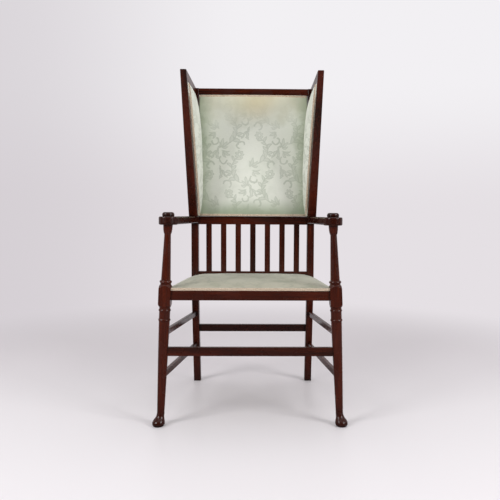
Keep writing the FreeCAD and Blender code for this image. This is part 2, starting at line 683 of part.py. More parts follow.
def back_pad():
    # Level slices between the posts; each bows forward, most of all in the middle of the back
    gap = number("Sizes.fit_gap")
    half = number("Layout.post_inner") - gap
    shoulder = number("Sizes.stile_inner_bottom - Sizes.wing_stuffing / 2")
    bottom = number("Sizes.arm_top") + gap
    top = number("Layout.top_rail_bottom") - gap
    wires = []
    for share, fullness in ((0, 0.15), (0.1, 0.62), (0.5, 1), (0.9, 0.66), (1, 0.15)):
        height = bottom + (top - bottom) * share
        face = number(back_face("%.6f" % height))
        rear = face + number("Sizes.back_pad_depth")
        edge = face - number("Sizes.back_pad_edge") * fullness
        swell = face - number("Sizes.back_stuffing") * fullness
        inset = face + number("Sizes.back_rail_setback")
        wires.append(slice_wire([
            (spot(-half, rear, height), None, spot(half, rear, height)),
            (spot(half, rear, height), None, spot(half, inset, height)),
            (spot(half, inset, height), None, spot(shoulder, edge, height)),
            (spot(shoulder, edge, height), spot(0, swell, height), spot(-shoulder, edge, height)),
            (spot(-shoulder, edge, height), None, spot(-half, inset, height)),
            (spot(-half, inset, height), None, spot(-half, rear, height))]))
    return solid("BackPad", Part.makeLoft(wires, True, False))


def back_sheet(name, behind, thickness, low_share, high_share, left_share, right_share):
    # A flat sheet in the leaning back, placed by shares of the opening between posts and rails
    gap = number("Sizes.fit_gap")
    half = number("Layout.post_inner") - gap
    low_end = number("Sizes.arm_top") + gap
    high_end = number("Layout.top_rail_bottom") - gap
    wires = []
    for share in (low_share, high_share):
        height = low_end + (high_end - low_end) * share
        face = number(back_face("%.6f" % height)) + behind
        left = -half + 2 * half * left_share
        right = -half + 2 * half * right_share
        corners = [spot(left, face, height), spot(right, face, height), spot(right, face + thickness, height),
                   spot(left, face + thickness, height)]
        wires.append(Part.makePolygon(corners + corners[:1]))
    return Part.makeLoft(wires, True, True)


def back_webbing():
    # Upright straps behind the pad, and level straps behind those
    thickness = number("Sizes.webbing_thickness")
    first = number("Sizes.back_pad_depth") + number("Sizes.fit_gap")
    half = number("Sizes.webbing_width / 4 / Layout.post_inner")
    straps = [back_sheet("", first, thickness, 0, 1, middle - half, middle + half) for middle in (0.3, 0.7)]
    half = number("Sizes.webbing_width / 2 / (Layout.top_rail_bottom - Sizes.arm_top)")
    straps += [back_sheet("", first + thickness, thickness, middle - half, middle + half, 0, 1)
               for middle in (0.25, 0.5, 0.75)]
    return solid("BackWebbing", straps[0].multiFuse(straps[1:]).removeSplitter())


def rail_face_x(y, outwards):
    # Side seat rail's face at one depth of the seat: outwards is 1 for the outer face, -1 for the inner
    front = number(front_axis_x("Sizes.side_rail_top - Sizes.side_rail_height / 2"))
    rear = number("Layout.rear_x")
    run = number("Sizes.post_gap + Sizes.post_depth / 2")
    slope = (front - rear) / run
    half = number("Sizes.side_rail_thickness") / 2 * (1 + slope * slope) ** 0.5
    return front - slope * y + outwards * half


def seat_pad(around):
    # Slices across the seat, from the front edge to the rear rail; each is crowned with round shoulders
    gap = number("Sizes.fit_gap")
    base = number("Sizes.side_rail_top")
    front = number("Layout.front_rail_face + Sizes.gimp_thickness")
    rear = number("Layout.back_rail_face") - gap
    wires = []
    crown_front = number("Sizes.seat_crown_front")
    crown = number("Sizes.seat_crown")
    crown_rear = number("Sizes.seat_crown_rear")
    swelling = crown_front + (crown - crown_front) * 0.62
    easing = crown - (crown - crown_rear) * 0.3
    for share, rise, side in ((0, crown_front, 1.7), (0.14, swelling, 1.2), (0.5, crown, 1), (0.8, easing, 1),
                              (1, crown_rear, 1)):
        y = front + (rear - front) * share
        half = rail_face_x(y, 1) - gap
        low = base + number("Sizes.seat_side_edge") * side
        shoulder = half * 0.76
        shoulder_height = base + rise * 0.93
        bend = spot(half - (half - shoulder) * 0.42, y, low + (shoulder_height - low) * 0.72)
        bend_left = spot(-bend.x, y, bend.z)
        wires.append(slice_wire([
            (spot(-half, y, base), None, spot(half, y, base)),
            (spot(half, y, base), None, spot(half, y, low)),
            (spot(half, y, low), bend, spot(shoulder, y, shoulder_height)),
            (spot(shoulder, y, shoulder_height), spot(0, y, base + rise),
             spot(-shoulder, y, shoulder_height)),
            (spot(-shoulder, y, shoulder_height), bend_left, spot(-half, y, low)),
            (spot(-half, y, low), None, spot(-half, y, base))]))
    stuffed = solid("SeatStuffed", Part.makeLoft(wires, True, False))
    return boolean("Cut", "SeatPad", stuffed, around)


def seat_strap(x_low, x_high, y_low, y_high, bottom):
    strap = Part.makeBox(x_high - x_low, y_high - y_low, number("Sizes.webbing_thickness"))
    strap.translate(spot(x_low, y_low, bottom))
    return strap


def seat_webbing():
    # Straps across the side rails, and straps from the front rail's rebate back over them
    width = number("Sizes.webbing_width")
    thickness = number("Sizes.webbing_thickness")
    base = number("Sizes.side_rail_top")
    front = number("Layout.front_rail_face + Sizes.lip_thickness + Sizes.fit_gap")
    rear = number("Layout.back_rail_face - Sizes.fit_gap")
    first = number("Layout.front_rail_face + Sizes.rail_thickness + Sizes.fit_gap")
    straps = []
    across_count = 4
    step = (rear - first - width) / (across_count - 1)
    for index in range(across_count):
        y = first + index * step
        reach = rail_face_x(y + width, 0)
        straps.append(seat_strap(-reach, reach, y, y + width, base))
    along_count = 3
    spacing = number("Layout.post_inner") * 2 / along_count
    for index in range(along_count):
        x = (index - (along_count - 1) / 2) * spacing
        straps.append(seat_strap(x - width / 2, x + width / 2, front, rear, base + thickness))
    return solid("SeatWebbing", straps[0].multiFuse(straps[1:]).removeSplitter())


def corner_block(name, y_rail, direction):
    # A three-cornered block in the seat frame; direction is 1 behind the front rail, -1 before the rear rail
    leg = number("Sizes.corner_block_leg")
    along = y_rail + direction * leg
    bottom = number("Sizes.side_rail_top - Sizes.corner_block_height") - number("Sizes.fit_gap")
    inner = rail_face_x(y_rail, -1)
    corners = [spot(inner, y_rail, bottom), spot(rail_face_x(along, -1), along, bottom),
               spot(inner - leg, y_rail, bottom)]
    face = Part.Face(Part.makePolygon(corners + corners[:1]))
    return solid(name, face.extrude(spot(0, 0, number("Sizes.corner_block_height"))))


def seat_braid():
    # Along the front rail's lip, between the blocks, against the seat pad's front edge
    body = new_body("SeatGimp")
    pad(body, outline(body, "SeatGimpSection", "YZ_Plane",
                      rectangle("Layout.front_rail_face", "Layout.front_rail_top", "Sizes.gimp_thickness",
                                "Sizes.gimp_width")), "2 * " + front_axis_x("Layout.front_rail_top"))
    return body


# Front and rear posts before their mortises, on both sides
front_right = front_post("Right", 1)
front_left = front_post("Left", -1)
rear_right = rear_post()
rear_left = mirrored("RearPostLeft", rear_right)
front_pair = group("FrontPair", [front_right, front_left])
rear_pair = group("RearPair", [rear_right, rear_left])
right_pair = group("RightPair", [front_right, rear_right])

# Seat frame
front_rail_bottom = "Layout.front_rail_top - Sizes.front_rail_height"
front_rail_end = front_axis_x("Layout.front_rail_top")
front_bar = cross_rail("FrontSeatRail", [
    ("Layout.front_rail_face", front_rail_bottom),
    ("Layout.front_rail_face", "Layout.front_rail_top"),
    ("Layout.front_rail_face + Sizes.lip_thickness", "Layout.front_rail_top"),
    ("Layout.front_rail_face + Sizes.lip_thickness", "Sizes.side_rail_top"),
    ("Layout.front_rail_face + Sizes.rail_thickness", "Sizes.side_rail_top"),
    ("Layout.front_rail_face + Sizes.rail_thickness", front_rail_bottom)], front_rail_end)
front_tongue = rectangle("-Sizes.tongue_thickness - 1", front_rail_bottom + " + 1", "Sizes.tongue_thickness",
                         "Sizes.side_rail_top - (%s) - 2" % front_rail_bottom)
front_seat_rail = keep(joined("FrontSeatRail", front_bar, front_tongue,
                              front_rail_end + " - Layout.block_half + Sizes.tongue_length", front_pair),
                       "front_seat_rail")
rear_tongue_face = "Sizes.post_gap + Sizes.tongue_length + 0.5"
rear_tongue_end = "Layout.post_inner + Sizes.tongue_length"
rear_rail_raw = cross_member(
    "RearSeatRail", "Layout.back_rail_face", "Layout.rear_rail_top - Sizes.rear_rail_height",
    "Sizes.back_rail_thickness", "Sizes.rear_rail_height", "Layout.rear_x", rear_tongue_end, rear_pair,
    rear_tongue_face)
middle_rail_raw = cross_member(
    "MiddleRail", "Layout.back_rail_face", "Sizes.arm_top - Sizes.middle_rail_height",
    "Sizes.back_rail_thickness", "Sizes.middle_rail_height", "Layout.rear_x", rear_tongue_end, rear_pair,
    rear_tongue_face)
slat_group = group("SlatGroup", slats("Layout.rear_rail_top"))
rear_seat_rail = keep(boolean("Cut", "RearSeatRailMortised", rear_rail_raw, slat_group), "rear_seat_rail")
middle_rail = keep(boolean("Cut", "MiddleRailMortised", middle_rail_raw, slat_group), "back_middle_rail")

# Top rail of the back, which leans with the posts
low_face = back_face("Layout.top_rail_bottom") + " + Sizes.back_rail_setback"
high_face = back_face("Sizes.back_height") + " + Sizes.back_rail_setback"
top_bar = cross_rail("TopRail", [
    (low_face, "Layout.top_rail_bottom"),
    (high_face, "Sizes.back_height"),
    (high_face + " + Sizes.back_rail_thickness", "Sizes.back_height"),
    (low_face + " + Sizes.back_rail_thickness", "Layout.top_rail_bottom")], "Layout.rear_x")
top_tongue = rectangle(back_face("Sizes.back_height") + " + Sizes.back_rail_thickness / 2",
                       "Layout.top_rail_bottom + Sizes.tongue_shoulder", "Sizes.tongue_thickness",
                       "Sizes.top_rail_height - 2 * Sizes.tongue_shoulder")
top_rail = keep(joined("TopRail", top_bar, top_tongue, rear_tongue_end, rear_pair), "back_top_rail")

# Stretchers and side rails
front_stretcher = keep(cross_member(
    "FrontStretcher", "-Sizes.stretcher_thickness / 2",
    "Sizes.front_stretcher_middle - Sizes.stretcher_height / 2", "Sizes.stretcher_thickness",
    "Sizes.stretcher_height", front_axis_x("Sizes.front_stretcher_middle"),
    front_axis_x("Sizes.front_stretcher_middle") + " - 3", front_pair), "front_stretcher")
rear_stretcher = keep(cross_member(
    "RearStretcher", "Sizes.post_gap + Sizes.post_depth / 2 - Sizes.stretcher_thickness / 2 + "
    + leg_rake("Sizes.rear_stretcher_middle"), "Sizes.rear_stretcher_middle - Sizes.stretcher_height / 2",
    "Sizes.stretcher_thickness", "Sizes.stretcher_height", "Layout.rear_x", rear_tongue_end, rear_pair),
    "rear_stretcher")
side_rail_middle = "(Sizes.side_rail_top - Sizes.side_rail_height / 2)"
side_rail = side_member("SideRail", side_rail_middle, side_rail_middle, "Sizes.side_rail_height",
                        "Sizes.side_rail_thickness", right_pair)
upper_stretcher = side_member("UpperStretcher", "Sizes.upper_stretcher_front", "Sizes.upper_stretcher_rear",
                              "Sizes.side_stretcher_height", "Sizes.side_stretcher_thickness", right_pair)
lower_stretcher = side_member("LowerStretcher", "Sizes.lower_stretcher_front", "Sizes.lower_stretcher_rear",
                              "Sizes.side_stretcher_height", "Sizes.side_stretcher_thickness", right_pair)

# Wings and arms
stile = wing_stile()
wing_top_rail = wing_rail("WingTopRail", "Layout.wing_rail_bottom", "Sizes.back_height",
                          "Sizes.stile_inner_top", "Sizes.wing_rail_thickness", rear_right, stile)
wing_base_inner = wing_plane("Layout.wing_base_top") + " + Sizes.wing_pad_depth + Sizes.fit_gap"
wing_base_rail = wing_rail("WingBaseRail", "Sizes.arm_top", "Layout.wing_base_top", wing_base_inner,
                           "Sizes.wing_rail_thickness", rear_right, stile)
arm_right = arm(front_right, rear_right, stile)
wing_rails = group("WingRails", [wing_top_rail, wing_base_rail])
keep_pair(boolean("Cut", "WingStileMortised", stile, wing_rails), "wing_stile")
keep_pair(wing_top_rail, "wing_top_rail")
keep_pair(wing_base_rail, "wing_base_rail")
keep_pair(arm_right, "arm")
keep_pair(arm_button(front_right), "arm_button")

# Posts with every mortise cut
side_pairs = [keep_pair(side_rail, "side_seat_rail"), keep_pair(upper_stretcher, "side_stretcher_upper"),
              keep_pair(lower_stretcher, "side_stretcher_lower")]
for side, whole in enumerate((front_right, front_left)):
    from_the_side = [pair[side] for pair in side_pairs]
    tongued = group("InFrontPost%d" % side, [front_seat_rail, front_stretcher] + from_the_side)
    mortised = boolean("Cut", "FrontPostMortised%d" % side, whole, tongued)
    keep(mortised, "front_post_" + ("right", "left")[side])
in_rear_post = group("InRearPost", [rear_rail_raw, middle_rail_raw, top_rail, rear_stretcher, side_rail,
                                    upper_stretcher, lower_stretcher, wing_rails, arm_right])
keep_pair(boolean("Cut", "RearPostMortised", rear_right, in_rear_post), "rear_post")

# Upholstery
keep_pair(wing_pad(), "wing_pad")
keep_pair(wing_cover(), "wing_outer_cover")
keep(back_pad(), "back_pad")
keep(back_webbing(), "back_webbing")
back_cover_place = number("Sizes.back_rail_setback + Sizes.back_rail_thickness - Sizes.cover_thickness")
keep(solid("BackCover", back_sheet("", back_cover_place, number("Sizes.cover_thickness"), 0, 1, 0, 1)),
     "back_outer_cover")
webbing = keep(seat_webbing(), "seat_webbing")
seat_gimp = keep(boolean("Cut", "SeatGimpTrimmed", seat_braid(), front_pair), "seat_gimp")
around_seat = group("AroundSeat", [front_right, front_left, front_bar, webbing, seat_gimp])
keep(seat_pad(around_seat), "seat_pad")

# Glued blocks in the corners of the seat frame
behind_front_rail = number("Layout.front_rail_face + Sizes.rail_thickness")
before_rear_rail = number("Layout.back_rail_face")
corner_blocks = group("CornerBlocks", [corner_block("FrontCornerBlock", behind_front_rail, 1),
                                       corner_block("RearCornerBlock", before_rear_rail, -1)])
keep_pair(boolean("Cut", "CornerBlocksTrimmed", corner_blocks, right_pair), "seat_corner_blocks")

# Check everything before anything is written
doc.recompute()
for thing in doc.Objects:
    if "Invalid" in thing.State or "Error" in thing.State:
        raise ValueError("%s: %s" % (thing.Name, thing.State))
for piece in pieces:
    if piece.Shape.isNull() or not piece.Shape.isValid():
        raise ValueError("%s has no valid shape" % piece.Label)
for piece in pieces:
    piece.Shape.exportStep(os.path.join("parts", piece.Label + ".step"))
print("%d pieces written" % len(pieces))
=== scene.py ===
import math

import bmesh
import bpy
from mathutils import Euler, Matrix, Vector, noise
from mathutils.bvhtree import BVHTree


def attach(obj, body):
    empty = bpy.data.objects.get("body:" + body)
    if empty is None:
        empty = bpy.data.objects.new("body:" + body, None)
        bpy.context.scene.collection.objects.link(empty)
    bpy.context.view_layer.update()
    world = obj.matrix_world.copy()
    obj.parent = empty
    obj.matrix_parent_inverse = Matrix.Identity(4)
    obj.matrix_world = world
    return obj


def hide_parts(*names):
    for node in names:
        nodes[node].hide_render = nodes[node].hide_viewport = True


# Wing armchair: dark polished mahogany frame, pale sage damask over stuffed seat, back and wings.
# Metres, +Z up, the chair faces -Y and +X is its right side as seen from the front.

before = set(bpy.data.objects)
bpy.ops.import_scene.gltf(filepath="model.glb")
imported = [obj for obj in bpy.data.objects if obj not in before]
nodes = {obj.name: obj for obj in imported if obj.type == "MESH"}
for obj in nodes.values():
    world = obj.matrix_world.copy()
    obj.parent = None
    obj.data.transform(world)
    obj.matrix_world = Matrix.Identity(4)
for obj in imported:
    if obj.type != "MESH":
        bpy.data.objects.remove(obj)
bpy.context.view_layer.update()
print("stage: frame loaded,", len(nodes), "pieces")


class Wire:
    # a node's output that can be used in sums
    def __init__(self, sheet, socket):
        self.sheet = sheet
        self.socket = socket

    def math(self, operation, first, second=None):
        values = {0: first} if second is None else {0: first, 1: second}
        return self.sheet.node("ShaderNodeMath", {"operation": operation}, values)

    def __add__(self, other):
        return self.math("ADD", self, other)

    def __radd__(self, other):
        return self.math("ADD", other, self)

    def __sub__(self, other):
        return self.math("SUBTRACT", self, other)

    def __rsub__(self, other):
        return self.math("SUBTRACT", other, self)

    def __mul__(self, other):
        return self.math("MULTIPLY", self, other)

    def __rmul__(self, other):
        return self.math("MULTIPLY", other, self)

    def __truediv__(self, other):
        return self.math("DIVIDE", self, other)

    def __mod__(self, other):
        return self.math("FLOORED_MODULO", self, other)

    def __abs__(self):
        return self.math("ABSOLUTE", self)

    def floor(self):
        return self.math("FLOOR", self)

    def sine(self):
        return self.math("SINE", self)

    def root(self):
        return self.math("SQRT", self)

    def larger(self, other):
        return self.math("MAXIMUM", self, other)

    def smaller(self, other):
        return self.math("MINIMUM", self, other)

    def ramp(self, low, high, start=0.0, end=1.0):
        # start below low, end above high, smooth between
        return self.sheet.node("ShaderNodeMapRange", {"interpolation_type": "SMOOTHSTEP"},
                               {0: self, 1: low, 2: high, 3: start, 4: end})


class Sheet:
    # one material's or the world's node sheet
    def __init__(self, owner):
        owner.use_nodes = True
        self.tree = owner.node_tree
        self.tree.nodes.clear()

    def node(self, kind, settings=None, values=None, out=0):
        made = self.tree.nodes.new(kind)
        for name, value in (settings or {}).items():
            setattr(made, name, value)
        for name, value in (values or {}).items():
            if isinstance(value, Wire):
                self.tree.links.new(value.socket, made.inputs[name])
            else:
                made.inputs[name].default_value = value
        if isinstance(out, (list, tuple)):
            return [Wire(self, made.outputs[name]) for name in out]
        return Wire(self, made.outputs[out])

    def mix(self, factor, first, second):
        # colours through a Mix node: 6 and 7 are its colour sockets, output 2 the colour
        return self.node("ShaderNodeMix", {"data_type": "RGBA"}, {0: factor, 6: first, 7: second}, out=2)

    def vector(self, operation, first, second):
        return self.node("ShaderNodeVectorMath", {"operation": operation}, {0: first, 1: second})

    def noise(self, vector, scale, detail=2.0, roughness=0.5, distortion=0.0):
        values = {"Vector": vector, "Scale": scale, "Detail": detail, "Roughness": roughness,
                  "Distortion": distortion}
        return self.node("ShaderNodeTexNoise", {}, values)

    def place(self):
        return self.node("ShaderNodeTexCoord", {}, {}, out="Object")

    def sides(self, vector):
        return self.node("ShaderNodeSeparateXYZ", {}, {0: vector}, out=(0, 1, 2))

    def bump(self, height, strength, distance, normal=None):
        values = {"Height": height, "Strength": strength, "Distance": distance}
        if normal is not None:
            values["Normal"] = normal
        return self.node("ShaderNodeBump", {}, values)

    def surface(self, **values):
        named = {name.replace("_", " "): value for name, value in values.items()}
        shader = self.node("ShaderNodeBsdfPrincipled", {}, named)
        self.node("ShaderNodeOutputMaterial", {}, {"Surface": shader}, out=[])


def colour(red, green, blue):
    # 0 to 255 as seen on screen, turned into the linear values that shaders take
    def linear(value):
        share = value / 255
        return share / 12.92 if share <= 0.04045 else ((share + 0.055) / 1.055) ** 2.4
    return (linear(red), linear(green), linear(blue), 1.0)


def newMaterial(name):
    material = bpy.data.materials.new(name)
    return material, Sheet(material)


# Mahogany: red-brown, French polished, darker in the pores and slightly worn along the arrises
mahoganyLook = {
    "deep": colour(36, 10, 3),
    "body": colour(69, 21, 6),
    "warm": colour(94, 35, 11),
    "pore": colour(22, 7, 3),
    "worn": colour(122, 56, 24),
    "figureScale": 9.0,      # broad figure, per metre across the grain
    "fibreScale": 190.0,
    "poreScale": 620.0,
    "smudgeScale": 14.0,
    "wearScale": 55.0,
    "stretch": 0.045,        # scale along the grain as a share of the one across it
    "broadStretch": 0.16,    # the same for the broad figure
    "roughness": 0.27,
    "polish": 0.2,           # share of clear coat on the wood
    "polishRoughness": 0.14,
    "index": 1.4,
    "shine": 0.5,
    "relief": 0.05,
    "arris": 0.0016,         # how wide the worn edges are
    "polishAndShadeReach": 0.014,        # how wide old polish gathers in corners, with painted shade in the crevices
    "darkAndShadedShare": 0.5,          # how much of the colour is left on the darker pieces; on the rear stretcher it is painted shade under the seat
    "boardShift": 3.1,       # metres between the places that two boards are cut from
    "darkShift": 7.7,
}
# the arms and their buttons are darker; the rear stretcher is darker as painted shade under the seat
darkPieces = ("arm_", "rear_stretcher")


def mahogany(name, along, offset, depth=1.0):
    look = mahoganyLook
    material, sheet = newMaterial(name)
    shifted = sheet.vector("ADD", sheet.place(), (offset, offset * 0.7, offset * 0.4))
    stretch = [1.0, 1.0, 1.0]
    stretch[along] = look["stretch"]
    grain = sheet.vector("MULTIPLY", shifted, stretch)
    broad = [1.0, 1.0, 1.0]
    broad[along] = look["broadStretch"]
    figure = sheet.noise(sheet.vector("MULTIPLY", shifted, broad), look["figureScale"], 4.0, 0.55, 0.7)
    fibre = sheet.noise(grain, look["fibreScale"], 3.0, 0.6, 0.15)
    pore = sheet.noise(grain, look["poreScale"], 2.0, 0.5).ramp(0.6, 0.7)
    smudge = sheet.noise(shifted, look["smudgeScale"], 3.0)
    tone = sheet.mix(figure.ramp(0.32, 0.62), look["deep"], look["body"])
    tone = sheet.mix(fibre.ramp(0.5, 0.74) * 0.45, tone, look["warm"])
    tone = sheet.mix(fibre.ramp(0.3, 0.47, 0.35, 0.0), tone, look["deep"])
    tone = sheet.mix(pore * 0.5, tone, look["pore"])
    soft = sheet.node("ShaderNodeBevel", {"samples": 4}, {"Radius": look["arris"]})
    flat = sheet.node("ShaderNodeNewGeometry", {}, {}, out="Normal")
    turned = sheet.node("ShaderNodeVectorMath", {"operation": "DOT_PRODUCT"}, {0: soft, 1: flat}, out="Value")
    edge = (1.0 - turned).ramp(0.03, 0.2)
    wear = edge * sheet.noise(shifted, look["wearScale"], 3.0).ramp(0.42, 0.66)
    tone = sheet.mix(wear * 0.35, tone, look["worn"])
    # darker pieces; on the rear stretcher this is painted shade
    tone = sheet.vector("MULTIPLY", tone, (depth, depth, depth))
    # old polish in corners and painted shade in crevices: the pore colour where the AO node finds little room
    reach = {"Distance": look["polishAndShadeReach"]}
    exposed = sheet.node("ShaderNodeAmbientOcclusion", {"samples": 6}, reach, out="AO")
    tone = sheet.mix(exposed.ramp(0.35, 0.95, 0.75, 0.0), tone, look["pore"])
    level = sheet.sides(sheet.place())[2]
    tone = sheet.mix(level.ramp(0.01, 0.09, 0.5, 0.0), tone, look["pore"])
    roughness = look["roughness"] + smudge.ramp(0.4, 0.7, -0.04, 0.07) + pore * 0.12 + wear * 0.1
    normal = sheet.bump(fibre * 0.35 - pore * 0.9, look["relief"], 0.0004, soft)
    sheet.surface(Base_Color=tone, Roughness=roughness, Coat_Weight=look["polish"],
                  Coat_Roughness=look["polishRoughness"], Coat_IOR=look["index"], IOR=look["index"],
                  Specular_IOR_Level=look["shine"], Normal=normal)
    return material


grainOf = {
    0: ("front_seat_rail", "rear_seat_rail", "back_middle_rail", "back_top_rail", "front_stretcher",
        "rear_stretcher"),
    1: ("side_seat_rail", "side_stretcher", "arm_left", "arm_right", "wing_top_rail", "wing_base_rail"),
    2: ("front_post", "rear_post", "back_slat", "wing_stile", "arm_button"),
}


def dressTimber():
    # three grain directions, two boards of timber for each, and a darker one for the dark pieces
    look = mahoganyLook
    for along, starts in grainOf.items():
        axis = "XYZ"[along]
        boards = []
        for board in (0, 1):
            boards.append(mahogany("mahogany%s%d" % (axis, board), along, look["boardShift"] * board))
        dark = mahogany("mahogany%sDark" % axis, along, look["darkShift"], look["darkAndShadedShare"])
        chosen = [name for name in sorted(nodes) if name.startswith(starts)]
        for count, name in enumerate(chosen):
            nodes[name].data.materials.clear()
            nodes[name].data.materials.append(dark if name.startswith(darkPieces) else boards[count % 2])


birchLook = {"pale": colour(196, 160, 112), "dark": colour(158, 118, 74), "scale": 160.0}


def birch():
    material, sheet = newMaterial("birch")
    grain = sheet.vector("MULTIPLY", sheet.place(), (0.08, 1.0, 1.0))
    fibre = sheet.noise(grain, birchLook["scale"], 3.0, 0.6)
    tone = sheet.mix(fibre.ramp(0.35, 0.65), birchLook["dark"], birchLook["pale"])
    sheet.surface(Base_Color=tone, Roughness=0.62 + fibre * 0.1, Normal=sheet.bump(fibre, 0.2, 0.0004))
    return material


# Damask: leaf sprays, curled scrolls and open flowers on a silk ground, all in millimetres
damaskLook = {
    "ground": colour(226, 229, 218),
    "motif": colour(192, 198, 184),
    "vein": colour(213, 217, 205),
    "aged": colour(196, 178, 132),
    "yellowed": colour(197, 194, 166),
    "blotchAndShade": colour(156, 168, 143),
    "shadedSeat": (0.53, 0.49, 0.43),   # painted shade: how much of each colour the seat's copy of the cloth keeps
    "scale": 1.3,                  # how much larger the drawing is than the sizes written in it
    "repeatWide": 90.0,
    "repeatTall": 114.0,
    "wobble": 5.0,                 # how far leaf edges wander
    "wobbleScale": 40.0,
    "slubScale": 150.0,
    "cloudScale": 11.0,            # broad blotches, and the ragged edges of the stains and the painted shade, per metre
    "thread": 7.0,                 # waves of the weave, radians per millimetre
    "sheen": 0.25,
}


def leaf(x, y, baseX, baseY, heading, length, width, bend=0.0):
    # how far a point lies inside one pointed leaf; negative outside
    cos, sin = math.cos(heading), math.sin(heading)
    along = (x - baseX) * cos + (y - baseY) * sin
    across = (y - baseY) * cos - (x - baseX) * sin
    share = along * (2 / length) - 1.0
    arch = 1.0 - share * share
    return arch * width - abs(across - arch * bend)


def ring(x, y, middleX, middleY, radius, thickness, cutX, cutY, cutAt):
    # how far a point lies inside part of a ring; the cut line keeps one side of it
    outX, outY = x - middleX, y - middleY
    reach = (outX * outX + outY * outY).root()
    kept = outX * cutX + outY * cutY + cutAt
    return (thickness - abs(reach - radius)).smaller(kept)


def flower(x, y, middleX, middleY, radius, petals):
    outX, outY = x - middleX, y - middleY
    reach = (outX * outX + outY * outY).root()
    turn = outY.math("ARCTAN2", outY, outX)
    petal = abs((turn * (petals / 2)).sine())
    outer = petal * (radius * 0.38) + radius * 0.62 - reach
    heart = reach - radius * 0.24
    return outer.smaller(heart)


def spray(x, y, middleX, middleY, radius, start, end, count, size):
    # a curved stem with slender leaves leaning forward on both sides
    shape = None
    for index in range(count):
        share = index / (count - 1)
        angle = math.radians(start + (end - start) * share)
        baseX = middleX + radius * math.cos(angle)
        baseY = middleY + radius * math.sin(angle)
        side = 1 if index % 2 else -1
        heading = angle + math.pi / 2 - side * math.radians(46)
        length = size * (1.0 - 0.3 * share)
        single = leaf(x, y, baseX, baseY, heading, length, length * 0.23, side * length * 0.15)
        shape = single if shape is None else shape.larger(single)
    return shape


def sprig(x, y):
    # two leafy curls, a flower at the end of the larger one and scrolls at their feet
    shape = spray(x, y, -34.0, 2.0, radius=42.0, start=-62, end=44, count=9, size=27.0)
    stem = ring(x, y, -34.0, 2.0, radius=42.0, thickness=1.5, cutX=1.0, cutY=0.0, cutAt=-12.0)
    shape = shape.larger(stem)
    shape = shape.larger(spray(x, y, 30.0, -30.0, radius=17.0, start=10, end=190, count=6, size=17.0))
    shape = shape.larger(flower(x, y, -16.0, 45.0, radius=14.0, petals=7))
    lower = ring(x, y, 20.0, -42.0, radius=11.0, thickness=2.4, cutX=-0.6, cutY=0.8, cutAt=6.0)
    upper = ring(x, y, 33.0, 30.0, radius=10.5, thickness=2.3, cutX=0.5, cutY=-0.85, cutAt=5.5)
    shape = shape.larger(lower).larger(upper)
    return shape


def fan(x, y, middleX, middleY, heading):
    # a small palmette: five leaves spread from one point, the middle one longest
    shape = None
    for place in (-2, -1, 0, 1, 2):
        turn = heading + math.radians(38 * place)
        size = 27 - 3.4 * abs(place)
        single = leaf(x, y, middleX, middleY, turn, size, size * 0.19, place * 1.6)
        shape = single if shape is None else shape.larger(single)
    return shape


